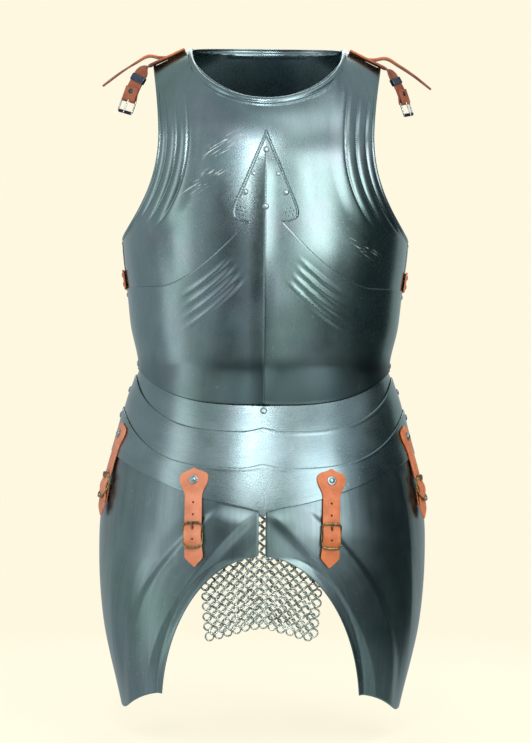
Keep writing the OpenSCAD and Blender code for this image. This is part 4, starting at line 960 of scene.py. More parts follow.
def plackart_grid(forms):
    """The plackart: a field from the lower edge to its top edge, whose middle strip rises as the finial."""
    strip, side, low_rows = 60, 60, 84
    inner = np.sin(np.linspace(0, np.pi / 2, strip + 1))
    outer = np.linspace(0, 1, side + 1)[1:]
    notch_angle = float(angle_at(NOTCH_W, NOTCH_Z))
    angles = np.concatenate([notch_angle * inner, mix(notch_angle, 90, outer ** 1.05)])
    a = np.concatenate([-angles[:0:-1], angles])
    x = np.sign(a) * ARMPIT_W * width_share(a)
    s = np.linspace(0, 1, low_rows)[:, None] ** 0.9
    z_low = mix(breast_bottom(a), plackart_top(x), s)
    z_up = np.array([*np.linspace(NOTCH_Z + 0.3, 188, 22), *np.linspace(188.7, FINIAL[-1][0], 140)])[:, None]
    share = np.concatenate([inner, np.ones(side)])
    share = np.concatenate([-share[:0:-1], share])
    x_up = along(FINIAL, z_up) * share
    a_up = np.sign(x_up) * angle_at(x_up, z_up)
    z_up = np.broadcast_to(z_up, x_up.shape)
    a_all = np.concatenate([np.broadcast_to(a, z_low.shape), a_up])
    z_all = np.concatenate([z_low, z_up])
    x_all = skin(a_all, z_all)[..., 0]
    relief = (keel(x_all, z_all, forms.keel_h / MM)
              + fan(x_all, plackart_top(x_all) - z_all, forms.fan_h / MM))
    rim = along(FINIAL, np.maximum(z_all, NOTCH_Z)) - np.abs(x_all)
    filed = wave(z_all + 0.5 * np.abs(x_all), 2.6) * clamp01((4.6 - rim) / 2) * (z_all > NOTCH_Z + 14)
    border = 0.7 * clamp01(1 - rim / 1.3) + 0.5 * ridge(rim, 3.2, 1.1)
    relief = relief - 0.35 * filed - border * (z_all > NOTCH_Z)
    keep = np.ones((a_all.shape[0] - 1, a_all.shape[1] - 1), bool)
    keep[low_rows - 1:, :side] = False
    keep[low_rows - 1:, -side:] = False
    x_all, z_all, keep = pierced(x_all, z_all, keep)
    a_all = np.where(z_all > NOTCH_Z, np.sign(x_all) * angle_at(x_all, z_all), a_all)
    return on_skin(a_all, z_all, PLACKART_OFF + relief), keep


# The back plate begins this many degrees round from the front
BACK_START = 90.4


def back_grid(forms):
    """The back plate mirrors the armholes; its neck edge rises a little in the middle."""
    u = torso_columns(34, 36)[::-1]
    low = BREAST_SIDE_LOW - 24 * (1 - width_share(90 * u))
    top = top_z(u, SHOULDER_Z + BACK_NECK_RISE)
    z = rising_rows(low, top, 90, 9, 10)
    a = 180 - u * edge_angle(z) * (180 - BACK_START) / 90
    neck = np.where(np.abs(u) <= NECK_U + 1e-9, roll(top - z, 3.2, 3.2, 0.7 * forms.bead_h / MM), 0)
    return on_skin(a, z, PLACKART_OFF + armhole_relief(u, z, forms) + neck)


LAME_END, CULET_START = 94.0, 97.0
LAME2_TOP, LAME3_TOP, FAULD_LOW = -79.5, -124.5, -178.0
PIVOT1_Z, PIVOT2_Z = -34.0, -67.0
CUSP_DIP, LAME_OVERLAP = 4.0, 6.0


def cusp(a):
    """The small point in the middle of each lame's edge."""
    return (CUSP_DIP + 1) * clamp01(1 - np.abs(a) / 6.5) ** 1.8


def rising(a, front_z, side_z, power):
    """An edge that rises to the sides with a power of the width's share."""
    return mix(front_z, side_z, width_share(a) ** power)


def lame2_top(a):
    return rising(a, LAME2_TOP - CUSP_DIP, PIVOT1_Z + 19, 3.7) + cusp(a)


def lame3_top(a):
    return rising(a, LAME3_TOP - CUSP_DIP, PIVOT2_Z + 10, 3.7) + cusp(a)


def fauld_bottom(a):
    return rising(a, FAULD_LOW, PIVOT2_Z - 45, 1.6) - 0.8 * cusp(a)


def lame1_top(a):
    return rising(a, BREAST_LOW + 24, BREAST_SIDE_LOW + 16, 3)


def lame1_bottom(a):
    return lame2_top(a) - 18 - 17 * width_share(a) ** 3


def lame2_bottom(a):
    return lame3_top(a) - LAME_OVERLAP - 13 * width_share(a) ** 3


TAB_L = 5.0


def fauld_edge(a):
    """The lower edge with the narrow tab in its middle, which covers the tassets' gap."""
    x = 2 * HIP_W * width_share(a) * np.sign(a)
    return fauld_bottom(a) - TAB_L * (1 - smooth((np.abs(x) / 2 - 2.6) / 2.2))


def centred_steps(end, count):
    """Places from -end to end, closer together in the middle."""
    s = np.linspace(-1, 1, count)
    return end * np.sign(s) * np.abs(s) ** 1.6


LAME_ROWS, LAME_LIP = 26, 0.4


def lame_grid(a, top, bottom, off, lip):
    """A lame between two edge curves; lip is the height of a narrow roll along its upper edge."""
    z = mix(bottom(a), top(a), np.linspace(0, 1, LAME_ROWS)[:, None])
    return on_skin(np.broadcast_to(a, z.shape), z, off + roll(top(a) - z, 1.3, 1.3, lip))


def back_share(a):
    """Share of the half width on the back: |sin a|^e."""
    return np.abs(np.sin(np.radians(a))) ** SECTION_E


def culet2_top(a):
    return -62 + 40 * back_share(a) ** 4


def culet3_top(a):
    return -98 + 43 * back_share(a) ** 4


CULET_LAP = 14.0
# Heights of the culet's upper and lower edge in the middle of the back and at the side line
CULET_TOP, CULET_LOW = (-10, 6), (-142, -106)


def culet_edges():
    """Upper edge, lower edge and layer of each lame of the back."""
    def lapped(top):
        return lambda a: top(a) - CULET_LAP * (1 + back_share(a) ** 3)

    return [(lambda a: mix(*CULET_TOP, back_share(a) ** 3), lapped(culet2_top), LAME1_OFF),
            (culet2_top, lapped(culet3_top), LAME2_OFF),
            (culet3_top, lambda a: mix(*CULET_LOW, back_share(a) ** 2.2), LAME3_OFF)]


ARCH_W, ARCH_H, ARCH_Z, GAP_W = 123.0, 195.0, -430.0, 4.8
TASSET_END, TASSET_LAP = 93.0, 7.0
# Half width of the outer crease, and of the ridge down each tasset's outer side
CREASE_A = [(-425, 162), (-377, 162), (-344, 159), (-314, 151), (-291, 143), (-269, 131), (-247, 116),
            (-227, 100), (-205, 80), (-191, 65), (-176, 48)]
SIDE_RIDGE = [(-421, 179), (-401, 181), (-361, 185.7), (-301, 188), (-242, 186), (-190, 181), (-158, 174.5),
              (-130, 167)]


def arch_x(z):
    """Half width of the arch between the tassets: a quarter ellipse, and the narrow gap above it."""
    s = (z - ARCH_Z) / ARCH_H
    return np.maximum(GAP_W, ARCH_W * np.sqrt(np.maximum(0, 1 - np.maximum(0, s) ** 2)))


def crease_b(z):
    """Half width of the inner crease, which runs out from the gap's head in a parabola."""
    return 11.5 + 131 * (1 - (1 - clamp01((-183 - z) / 237)) ** 2)


def tasset_relief(x, z, low, height):
    """Planes that meet in two creases: a hollow beside the arch rises to the inner crease, an almost level
    band reaches the outer one, and outside it the plate falls into a shallow valley."""
    inner, outer = x - crease_b(z), x - along(CREASE_A, z)
    hollow = mix(height, -0.5 * height, 1 - clamp01(1 + inner / 15) ** 1.2)
    hollow = hollow * clamp01((inner + 40) / 20)
    band = mix(height, 0.8 * height, clamp01(inner / np.maximum(inner - outer, 1)))
    falling = height * (0.8 - 1.2 * smooth(outer / 12) + 0.4 * smooth((outer - 12) / 28))
    relief = np.where(inner < 0, hollow, np.where(outer < 0, band, falling))
    side = 1.1 * ridge(x, along(SIDE_RIDGE, z), 10) * smooth((-128 - z) / 14) * (x > 130)
    return relief * smooth((low - 1 - z) / 22) + side


def tasset_grid(forms):
    """A tasset: q runs from its inner edge to its outer side, rows rise from the foot to the lap."""
    q = np.concatenate([np.linspace(0, 0.09, 18), np.linspace(0.09, 1, 142)[1:]])
    v = np.linspace(0, 1, 150)[:, None]
    a0 = float(angle_at(GAP_W, HIP_Z))
    low = fauld_bottom(mix(a0, TASSET_END, q))
    foot = FOOT_Z + 28 * (1 - smooth(q / 0.7))
    z = mix(foot, low + TASSET_LAP, v)
    a = mix(angle_at(arch_x(z), z), TASSET_END, q)
    turn = forms.flange_h / MM * (clamp01(1 - q / 0.05) ** 1.15 - 0.25 * ridge(q, 0.056, 0.016))
    turn = turn * smooth((ARCH_H + ARCH_Z - z) / 12)
    relief = tasset_relief(skin(a, z)[..., 0], z, low, forms.crease_h / MM)
    return on_skin(a, z, TASSET_OFF + relief + turn)


def mirrored(points):
    """The same grid for the left side, with its columns turned round so that it still faces outwards."""
    return points[:, ::-1] * np.array([-1.0, 1.0, 1.0])


def plate_piece(name, grid, t, body, material, node, keep=None):
    """A steel plate from its grid of outer points, with its lay."""
    normals = grid_normals(grid).reshape(-1, 3)
    verts, faces, source = shell(grid.reshape(-1, 3), normals, grid_quads(*grid.shape[:2], keep), t)
    obj = make_mesh(name, verts, faces, lay_of(grid)[source])
    return finish_piece(obj, body, finish(material), "plate_steel", node)


class BreastOperator(bpy.types.Operator):
    """Beat the two breast plates: rolled neck, flutes, keel, finial and fan"""
    bl_idname = "cuirass.breast"
    bl_label = "Breast plates"

    def execute(self, context):
        forms = context.scene.cuirass_forms
        plate_piece("breast_upper", upper_grid(forms), PLATE_T, "root", "breast_steel", "breastplate_upper")
        grid, keep = plackart_grid(forms)
        plate_piece("breast_lower", grid, PLATE_T, "root", "breast_steel", "plackart", keep)
        return {"FINISHED"}


class BackOperator(bpy.types.Operator):
    """Beat the back plate and the three lames of the culet"""
    bl_idname = "cuirass.back"
    bl_label = "Back plate and culet"

    def execute(self, context):
        grid = back_grid(context.scene.cuirass_forms)
        plate_piece("back_plate", grid, PLATE_T, "back", "breast_steel", "backplate")
        a = mix(CULET_START, 360 - CULET_START, np.linspace(0, 1, 121))
        for k, (top, bottom, off) in enumerate(culet_edges(), 1):
            body = "back" if k == 1 else f"culet_{k}"
            plate_piece(f"culet_plate_{k}", lame_grid(a, top, bottom, off, LAME_LIP), LAME_T, body,
                        "lame_steel", f"culet_lame_{k}")
        return {"FINISHED"}


class FauldOperator(bpy.types.Operator):
    """Beat the three lames of the fauld, which turn on each other at the hips"""
    bl_idname = "cuirass.fauld"
    bl_label = "Fauld"

    def execute(self, context):
        a = centred_steps(LAME_END, 221)
        edges = [(lame1_top, lame1_bottom, LAME1_OFF, "root"), (lame2_top, lame2_bottom, LAME2_OFF, "lame_2"),
                 (lame3_top, fauld_edge, LAME3_OFF, "lame_3")]
        for k, (top, bottom, off, body) in enumerate(edges, 1):
            grid = lame_grid(a, top, bottom, off, 0.0 if k == 1 else LAME_LIP)
            plate_piece(f"fauld_plate_{k}", grid, LAME_T, body, "lame_steel", f"fauld_lame_{k}")
        return {"FINISHED"}


class TassetsOperator(bpy.types.Operator):
    """Beat the two thigh plates with the arch between them"""
    bl_idname = "cuirass.tassets"
    bl_label = "Tassets"

    def execute(self, context):
        right = tasset_grid(context.scene.cuirass_forms)
        for side, grid in (("left", mirrored(right)), ("right", right)):
            plate_piece(f"thigh_plate_{side}", grid, LAME_T, f"thigh_{side}", "tasset_steel",
                        f"tasset_{side}")
        return {"FINISHED"}


# Rivets

SHANK_R = 2.0


def rivet(r, grip, h=2.0, tail=True, washer=0.0):
    """A domed rivet turned round Z: its head stands on z = 0 or on a washer, its shank reaches to -grip."""
    dome = np.radians(np.linspace(0, 90, 8))
    foot = [(0, -grip - 0.8), (SHANK_R + 0.6, -grip - 0.8), (SHANK_R + 1, -grip - 0.4), (SHANK_R, -grip)]
    if not tail:
        foot = [(0, -grip), (SHANK_R, -grip)]
    profile = foot + [(SHANK_R, 0)]
    if washer:
        profile += [(5.2, 0), (5.7, 0.2), (5.7, washer - 0.2), (5.4, washer), (r + 0.1, washer)]
    profile += [(r - 0.15, washer), (r, washer + 0.15)]
    profile += [(r * math.cos(t), washer + 0.15 + (h - 0.15) * math.sin(t)) for t in dome[1:]]
    return turned(profile)


def standing(a, z, off, side=1):
    """A frame on the common surface whose Z is the normal."""
    p = skin(a, z)
    n = skin_normal(a, p)
    t = unit(np.cross((0, 0, 1), n))
    return Frame(p + off * n, t, np.cross(n, t), side)


def both_sides(a, z, off, solid):
    """The solid on the common surface at the left and at the right."""
    return [standing(a, z, off, side).carry(solid) for side in (-1, 1)]


WAIST_GRIP = PLACKART_OFF - LAME1_OFF + LAME_T
TURNING_GAP = 0.4
CULET_PIVOT = 101.0


def pivot_rivets(z, inner_off, outer_off, angle=90.0):
    """The pair of rivets on which the outer of two lames turns."""
    off = outer_off + TURNING_GAP
    return joined(both_sides(angle, z, off, rivet(4.4, off - inner_off + LAME_T)))


# Angle of the rivets in the middle of the front, next to 0
MIDDLE = 0.01
# Rivets of the finial: x, z and radius of the domed ones and of the low ones
DOMED_RIVETS, LOW_RIVETS = ((0, 266, 3.9), (0, 195, 4.1), (25, 213, 3.8)), ((15, 236, 2.8), (8, 254, 1.9))


def plackart_rivets(keel_h):
    """The finial's rivets, whose middle ones stand on the keel, and one at each side."""
    grip = 2 * PLATE_T + GAP
    solids = []
    for x, z, r in DOMED_RIVETS:
        up = float(keel(np.array(float(x)), np.array(float(z)), keel_h))
        where = (float(angle_at(x, z)) if x else MIDDLE, z, PLACKART_OFF + up)
        solid = rivet(r, grip + up, tail=False)
        solids += both_sides(*where, solid) if x else [standing(*where).carry(solid)]
    for x, z, r in LOW_RIVETS:
        solids += both_sides(float(angle_at(x, z)), z, PLACKART_OFF, rivet(r, grip, 1.2, False))
    return joined(solids + both_sides(87, PLACKART_SIDE_Z - 8, PLACKART_OFF, rivet(2.8, grip, 1.2, False)))


def waist_rivets():
    middle = standing(MIDDLE, BREAST_LOW - 7, LAME1_OFF).carry(rivet(4.4, LAME_T))
    return joined([*both_sides(84, 0, PLACKART_OFF, rivet(4.2, WAIST_GRIP)), middle])


def culet_waist_rivets():
    solid = rivet(4.2, WAIST_GRIP)
    middle = standing(180, -10, PLACKART_OFF).carry(solid)
    return joined([*both_sides(CULET_PIVOT, -2, PLACKART_OFF, solid),
                   *both_sides(140, -10, PLACKART_OFF, solid), middle])


# Straps of the tassets

STRAP_W, STRAP_T, STRAP_GAP, CHAPE_T, CHAPE_L = 21.0, 2.5, 0.3, 1.1, 22.0
WIRE_R, BUCKLE_L, TAIL_L = 1.2, 28.4, 39.0
RAIL_W = STRAP_W / 2 + WIRE_R + STRAP_GAP
# Inner radius of what turns round a buckle's bar
EYE_R = WIRE_R + 0.15
LOOP_R = EYE_R + CHAPE_T
# A chape's rivet stands this far from its end
CHAPE_RIVET_UP = 6
REST_OFF = TASSET_OFF + 1.8 + STRAP_GAP
BAND_T, BAND_H = 1.6, 13.2
BAND_LOW_Z = LAME3_TOP - CUSP_DIP - LAME_OVERLAP - 2.3 - BAND_H
# Half width at each distance from the tail's tip and from the head's point
TAIL_SHAPE = [(0, 0.7), (4, 4.6), (8.5, 9.2), (11.5, 11.1), (15, 11.2), (24, 10.5)]
HEAD_SHAPE = [(0, 0.8), (2, 4.2), (3.8, 9.4), (5.6, 14.2), (9, 17.4), (14, 17.9), (20, 16.2), (26, 13.2),
              (31, 11.3), (36, 10.5)]
# Holes at these distances from the buckle's centre bar; the prong comes out of the long one
STRAP_HOLES = [(39.4, 1.9, 1.8), (24.7, 1.9, 1.8), (8.6, 3.6, 1.9), (-5.5, 1.9, 1.8)]


class StrapPlace:
    """Where a tasset strap hangs. In its frame X points out of the plate and level, Y up, Z across."""

    def __init__(self, angle, rivet_z, hang, backing, lean=0.0):
        self.angle, self.rivet_z, self.backing, self.lean = angle, rivet_z, backing, math.radians(lean)
        self.edge_z = float(fauld_bottom(angle))
        self.top_z, self.bar_z = rivet_z + 15, self.edge_z - hang
        self.tail_z = self.bar_z - TAIL_L
        self.foot = skin(angle, -150.0)
        self.out = unit(skin_normal(angle, self.foot) * (1, 1, 0))

    def frame(self, side, z=0.0):
        """The frame at height z along the strap, which leans about its rivet."""
        up = np.array([0.0, 0.0, 1.0])
        y = math.cos(self.lean) * up - math.sin(self.lean) * np.cross(self.out, up)
        return Frame(self.foot * (1, 1, 0) + self.rivet_z * up + (z - self.rivet_z) * y, self.out, y, side)

    def level(self, z, off):
        """How far out of the frame's origin the surface at the distance off lies at height z."""
        return (on_skin(self.angle, z, off) - self.foot) @ self.out

    def inner(self, z):
        """The strap's inner face: on lame 3, under the buckle's outer bars and over its centre bar."""
        knots = [(self.tail_z, REST_OFF + 2), (self.bar_z - BUCKLE_L / 2 - 8, REST_OFF + 2 * CHAPE_T + 1),
                 (self.bar_z - BUCKLE_L / 2, REST_OFF + 2 * CHAPE_T + 1),
                 (self.bar_z, REST_OFF + 2 * LOOP_R + 2.5 * STRAP_GAP),
                 (self.bar_z + BUCKLE_L / 2, REST_OFF + 1.2), (self.edge_z, LAME3_OFF + STRAP_GAP)]
        off = np.where(z > self.edge_z, LAME3_OFF + STRAP_GAP, along(knots, z))
        return self.level(z, off)

    def heel_x(self):
        return float(self.level(self.bar_z, REST_OFF + LOOP_R))

    def bar_x(self, rise):
        return float(self.inner(self.bar_z + rise)) + STRAP_T + 2 * STRAP_GAP + WIRE_R


FRONT_STRAP = StrapPlace(float(angle_at(84.0, BAND_LOW_Z)), BAND_LOW_Z + BAND_H / 2, 47.7, BAND_T + GAP, 3.0)
HIP_STRAP = StrapPlace(72.0, float(lame2_bottom(72.0)) - 6, 37.3, 0.0)
STRAP_PLACES = (FRONT_STRAP, HIP_STRAP)


def tasset_strap(place, side):
    """A strap from its pointed tail up to its wide head, punched with its holes."""
    z = np.linspace(place.tail_z, place.top_z, 260)
    x = eased(place.inner(z) + STRAP_T, 5)
    path = np.stack([x, z, np.zeros_like(z)], -1)
    s = gone(path)
    length = s[-1]

    def width(v):
        tail = along(TAIL_SHAPE, np.minimum(v, TAIL_SHAPE[-1][0]))
        head = along(HEAD_SHAPE, np.minimum(length - v, HEAD_SHAPE[-1][0]))
        return np.where(v < length / 2, tail, head)

    holes = [(float(np.interp(place.bar_z + rise, z, s)), 0.0, half_l, half_w)
             for rise, half_l, half_w in STRAP_HOLES]
    return place.frame(side).carry(strap(path, (0, 0, -1), width, STRAP_T, holes, 140.0, swell=0.75))


def chape(heel_x, back, back_end, length, width):
    """Leather folded over a bar at (heel_x, 0): up the back, round the bar, and down in front."""
    f = np.radians(np.linspace(180, 0, 19))
    rise = np.linspace(-length, -1.5, 24)
    up = np.stack([mix(back_end, back, (rise + length) / length), rise], -1)
    over = np.stack([heel_x + LOOP_R * np.cos(f), LOOP_R * np.sin(f)], -1)
    fall = np.linspace(0, 1, 24)[1:]
    front_x = mix(heel_x + LOOP_R, back_end + 2 * CHAPE_T, smooth(fall / 0.5))
    down = np.stack([front_x, -length * fall], -1)
    path = np.concatenate([up, over, down])
    flat = np.concatenate([path, np.zeros((len(path), 1))], 1)
    # The slot for the prong lies at the fold's upper point
    turn = float(gone(path[:len(up) + len(over) // 2 + 1])[-1])
    return strap(flat, (0, 0, 1), width, CHAPE_T, [(turn, 0.0, 6.0, 2.6)], swell=0.4)


def flat_frame(half_u, low, high, profile, r=4.6, bow=(1.5, 0.4), rail=0.85, bar=1.65, thick=1.15):
    """A buckle's outer frame: a rounded rectangle of bars and thinner rails, carried on x = profile(y)."""
    u, v = rounded_loop(half_u, low, high, r, 120).T
    middle, half = (low + high) / 2, (high - low) / 2
    share = (v - middle) / half
    v = v + np.where(share < 0, -bow[0], bow[1]) * np.abs(share) ** 5 * (1 - (u / half_u) ** 2)
    path = np.stack([profile(v), v, u], -1)
    forward = headings(path, True)
    across = np.cross(forward, (1.0, 0.0, 0.0))
    broad = smooth((np.abs(forward[:, 2]) - 0.25) / 0.75)
    return swept(path, across, mix(rail, bar, broad), thick, 14, True, 0.8)


def round_bar(p, q, r):
    """A straight bar between two points, with rounded ends."""
    s = np.array([0, 0.004, 0.02, 0.5, 0.98, 0.996, 1.0])[:, None]
    path = mix(np.array(p, float), np.array(q, float), s)
    taper = r * np.array([0.4, 0.8, 1, 1, 1, 0.8, 0.4])
    return swept(path, np.array((1.0, 0.0, 0.0)), taper, taper)


def prong(heel_x, knots, r=1.0):
    """A tapered tongue through (x, y) knots, with an eye round the bar at (heel_x, 0)."""
    s = np.linspace(0, len(knots) - 1, 28)
    xy = curve(knots, s)
    path = np.concatenate([xy, np.zeros((len(xy), 1))], 1)
    taper = mix(1.0, 0.72, smooth(s / s[-1])) * np.sqrt(clamp01((s[-1] - s) / 0.22 + 0.12))
    body = swept(path, np.array((0.0, 0.0, 1.0)), 1.25 * r * taper, r * taper, 14)
    f = 2 * np.pi * np.arange(28) / 28
    eye_r = EYE_R + 0.62
    ring = np.stack([heel_x + eye_r * np.cos(f), eye_r * np.sin(f), 0 * f], -1)
    outward = np.stack([np.cos(f), np.sin(f), 0 * f], -1)
    eye = swept(ring, outward, 0.6, 1.7, 12, True, 0.7)
    return joined([body, eye])


def tasset_buckle(place, side):
    """A bowed frame round the strap, with its centre bar."""
    half = BUCKLE_L / 2
    heel, low, high = place.heel_x(), place.bar_x(-half), place.bar_x(half)
    outline = flat_frame(RAIL_W, -half, half, lambda v: along([(-half, low), (0, heel), (half, high)], v))
    bar = round_bar((heel, 0, -RAIL_W), (heel, 0, RAIL_W), WIRE_R)
    return place.frame(side, place.bar_z).carry(joined([outline, bar]))


def tasset_prong(place, side):
    """A prong from the centre bar over the strap to the frame's upper bar."""
    half = BUCKLE_L / 2
    heel, high = place.heel_x(), place.bar_x(half)
    knots = [(heel + WIRE_R + 0.9, 0.4), (heel + WIRE_R + 1.1, 3.0), (mix(heel, high, 0.6) + 1.8, 9.0),
             (high + WIRE_R + 0.9, half), (high + WIRE_R + 0.6, half + 1.9)]
    return place.frame(side, place.bar_z).carry(prong(heel, knots))


def tasset_chape(place, side):
    """The leather that ties a buckle's bar to its tasset."""
    back = float(place.level(place.bar_z, REST_OFF))
    back_end = float(place.level(place.bar_z - CHAPE_L, REST_OFF))
    return place.frame(side, place.bar_z).carry(chape(place.heel_x(), back, back_end, CHAPE_L, STRAP_W - 3))


def chape_rivet(place, side):
    """The rivet through a chape's end."""
    z = place.bar_z - CHAPE_L + CHAPE_RIVET_UP
    head = place.frame(1, z).at((float(place.level(z, REST_OFF)) + 2 * CHAPE_T, 0, 0))
    foot = Frame(head, np.array([0.0, 0.0, -1.0]), np.cross(place.out, (0, 0, -1)), side)
    return foot.carry(rivet(3, 2 * CHAPE_T + STRAP_GAP + 1.8 + LAME_T + 0.5, 0.6, False))


def strap_rivet(place, side):
    """The rivet and washer at a strap's head."""
    off = LAME3_OFF + STRAP_GAP + STRAP_T
    grip = STRAP_T + STRAP_GAP + LAME_T + place.backing
    return standing(place.angle, place.rivet_z, off, side).carry(rivet(3.8, grip, 2.2, True, 0.8))


# Shoulder straps, drawn for the right side as the viewer sees it and mirrored for the left

def shoulder_line(x):
    """Height of the slanting shoulder at x."""
    return SHOULDER_Z - SHOULDER_DROP * (x - NECK_W) / (SHOULDER_W - NECK_W)


SHOULDER_Y, SHOULDER_STRAP_W, TONGUE_T = 12.5, 19.0, 2.6
HANGER_LIFT, TONGUE_LIFT = 1.0, PLACKART_OFF + 1.2
TONGUE = [(107, shoulder_line(107) + TONGUE_LIFT), (124, shoulder_line(124) + TONGUE_LIFT), (139, 398),
          (155, 400), (171, 391), (191, 378), (213, 361)]
HANGER = [(107, shoulder_line(107) + HANGER_LIFT), (132, shoulder_line(132) + HANGER_LIFT),
          (SHOULDER_W + 2, shoulder_line(SHOULDER_W + 2) + HANGER_LIFT + 0.2), (158.5, 380), (166, 368),
          (172, 356), (176, 345)]
# Twist of the straps' free ends in degrees, on the left and on the right
TONGUE_TURN, HANGER_TURN = {-1: 12.0, 1: 5.0}, {-1: 60.0, 1: 35.0}
HEEL_DOWN, FOLD_T, FLAP_L = 4.2, 2.0, 16.5
KEEPER_AT, KEEPER_L = 4.0, 9.0
SHOULDER_BUCKLE_L = 16.5
SHOULDER_RIVETS_X = (113, 124)
# Distances of the tongue's holes from its root
TONGUE_HOLES = (52, 66, 80)


def strap_axes(path, turn):
    """Axes along a strap in the X-Z plane: forwards, across it and out of its grain side.

    The grain side turns from the upper side towards the front by the angle turn, in degrees."""
    forward = headings(path)
    up = np.stack([-forward[:, 2], 0 * forward[:, 0], forward[:, 0]], -1)
    c, s = (f(np.radians(np.broadcast_to(turn, len(path))))[:, None] for f in (np.cos, np.sin))
    level = np.array([0.0, 1.0, 0.0])
    return forward, c * level + s * up, c * up - s * level


def in_plane(knots, s, y):
    """The curve through (x, z) knots at the depth y."""
    xz = curve(knots, s)
    return np.stack([xz[:, 0], np.full(len(s), y), xz[:, 1]], -1)


def shoulder_tongue(side):
    """The free strap over a shoulder, which ends in a point."""
    s = np.linspace(0, len(TONGUE) - 1, 160)
    path = in_plane(TONGUE, s, SHOULDER_Y)
    _, across, out = strap_axes(path, TONGUE_TURN[side] * smooth((s - 2) / 4))

    def width(v):
        left = clamp01((v[-1] - v) / 24)
        return SHOULDER_STRAP_W / 2 * (0.1 + 0.9 * np.sqrt(left)) * (1 - 0.04 * wave(v, 37.0))

    holes = [(v, 0, 1.7, 1.7) for v in TONGUE_HOLES]
    return sided(strap(path + TONGUE_T * out, -across, width, TONGUE_T, holes, swell=0.8), side)


def hanger_frame(side, s, down=0.0):
    """The hanger's frame at the place s of its path: X out of its grain side, Y up the strap, Z across."""
    after = 0 if s == len(HANGER) - 1 else 1 / 3
    p, q = in_plane(HANGER, np.array([s - 1 / 3, s + after]), -SHOULDER_Y)
    middle = in_plane(HANGER, np.array([s]), -SHOULDER_Y)[0]
    y = -unit(q - p)
    turn = math.radians(HANGER_TURN[side])
    up = np.array([y[2], 0.0, -y[0]])
    x = math.cos(turn) * up - math.sin(turn) * np.array([0.0, 1.0, 0.0])
    return Frame(middle - down * y + TONGUE_T / 2 * x, x, y, side)


def heel_frame(side):
    """The hanger's frame at its lower end, about the bar of its buckle."""
    return hanger_frame(side, len(HANGER) - 1, HEEL_DOWN)


def hanger(side):
    """The strap that hangs at a shoulder: a front flap, round the buckle's bar, and up behind to its root."""
    heel = heel_frame(side)
    # The whole strap is mirrored at the end
    heel.side = 1
    r = EYE_R + FOLD_T
    back = r - TONGUE_T / 2
    f = np.radians(np.linspace(0, -180, 21))
    front = np.stack([np.full(16, r), np.linspace(FLAP_L, 0.5, 16), np.zeros(16)], -1)
    loop = np.stack([r * np.cos(f), r * np.sin(f), 0 * f], -1)
    y = np.linspace(0.5, HEEL_DOWN, 6)[:-1]
    rise = np.stack([-TONGUE_T / 2 - back * (1 - smooth(y / 10)), y, 0 * y], -1)
    s = np.linspace(len(HANGER) - 1, 0, 150)
    path = in_plane(HANGER, s, -SHOULDER_Y)
    twist = HANGER_TURN[side] * smooth((s - 2) / 1.6)
    _, across, out = strap_axes(path[::-1], twist[::-1])
    across, out = across[::-1], out[::-1]
    up = gone(path)
    path = path - (back * (1 - smooth((up + HEEL_DOWN) / 10)))[:, None] * out
    low = heel.at(np.concatenate([front, loop, rise]))
    sides = np.concatenate([np.broadcast_to(heel.axes[2], low.shape), -across])
    t = np.concatenate([np.full(len(low), FOLD_T), mix(FOLD_T, TONGUE_T, smooth(up / 14))])
    bend = FLAP_L + np.pi * r / 2
    solid = strap(np.concatenate([low, path]), sides, SHOULDER_STRAP_W - 0.6, t, [(bend, 0, 6.5, 2.7)],
                  swell=0.8)
    return sided(solid, side)


def keeper(side):
    """A flat band closed round the hanger."""
    half_x, half_z = TONGUE_T / 2 + 1.1, SHOULDER_STRAP_W / 2 + 0.9
    u, v = rounded_loop(half_z, -half_x, half_x, 1.4, 72).T
    path = np.stack([v, 0 * v, u], -1)
    forward = headings(path, True)
    band = swept(path, np.cross(forward, (0.0, 1.0, 0.0)), 0.6, KEEPER_L / 2, 16, True, 0.35)
    return hanger_frame(side, KEEPER_AT).carry(band)


def shoulder_buckle(side):
    """A small frame on the hanger's fold and the roller on its lower bar."""
    half_z = SHOULDER_STRAP_W / 2 + WIRE_R + 0.5
    outline = flat_frame(half_z, -SHOULDER_BUCKLE_L, 0, lambda v: 0 * v, 2.2, (0.0, 0.0), 0.95, 1.1, 1.0)
    roller = turned([(0, 1.2 - half_z), (1.6, 1.2 - half_z), (2.1, 1.6 - half_z), (2.2, 2.2 - half_z),
                     (2.2, half_z - 2.2), (2.1, half_z - 1.6), (1.6, half_z - 1.2), (0, half_z - 1.2)], 24)
    heel = heel_frame(side)
    return heel.carry(outline), heel.carry((roller[0] - (0, SHOULDER_BUCKLE_L, 0), roller[1]))


def shoulder_prong(side):
    """The prong that lies on the roller."""
    knots = [(WIRE_R + 0.9, -0.4), (WIRE_R + 1.3, -4.0), (WIRE_R + 1.6, -10.0),
             (WIRE_R + 1.9, -SHOULDER_BUCKLE_L), (WIRE_R + 1.5, -SHOULDER_BUCKLE_L - 2.2)]
    return heel_frame(side).carry(prong(0.0, knots, 0.95))


def flap_rivet(side):
    """The rivet that closes the folded end of a hanger."""
    heel = heel_frame(side)
    head = heel.origin + (EYE_R + FOLD_T) * heel.axes[0] + 11.0 * heel.axes[1]
    return Frame(head, heel.axes[1], heel.axes[2], side).carry(rivet(3.3, 4.6, 1.3, False))


def shoulder_rivets(y, lift):
    """Two rivets at the root of each shoulder strap."""
    tilt = math.atan2(SHOULDER_DROP, SHOULDER_W - NECK_W)
    along_x = np.array([math.cos(tilt), 0.0, -math.sin(tilt)])
    solids = []
    for x in SHOULDER_RIVETS_X:
        head = (x, y, shoulder_line(x) + lift + TONGUE_T / math.cos(tilt) + 0.1)
        solids += [Frame(head, along_x, (0.0, 1.0, 0.0), side).carry(rivet(3, TONGUE_T + 5.5, 1.4, False))
                   for side in (-1, 1)]
    return joined(solids)


# Side closures: a strap riveted to the breast and buckled on the back plate's edge

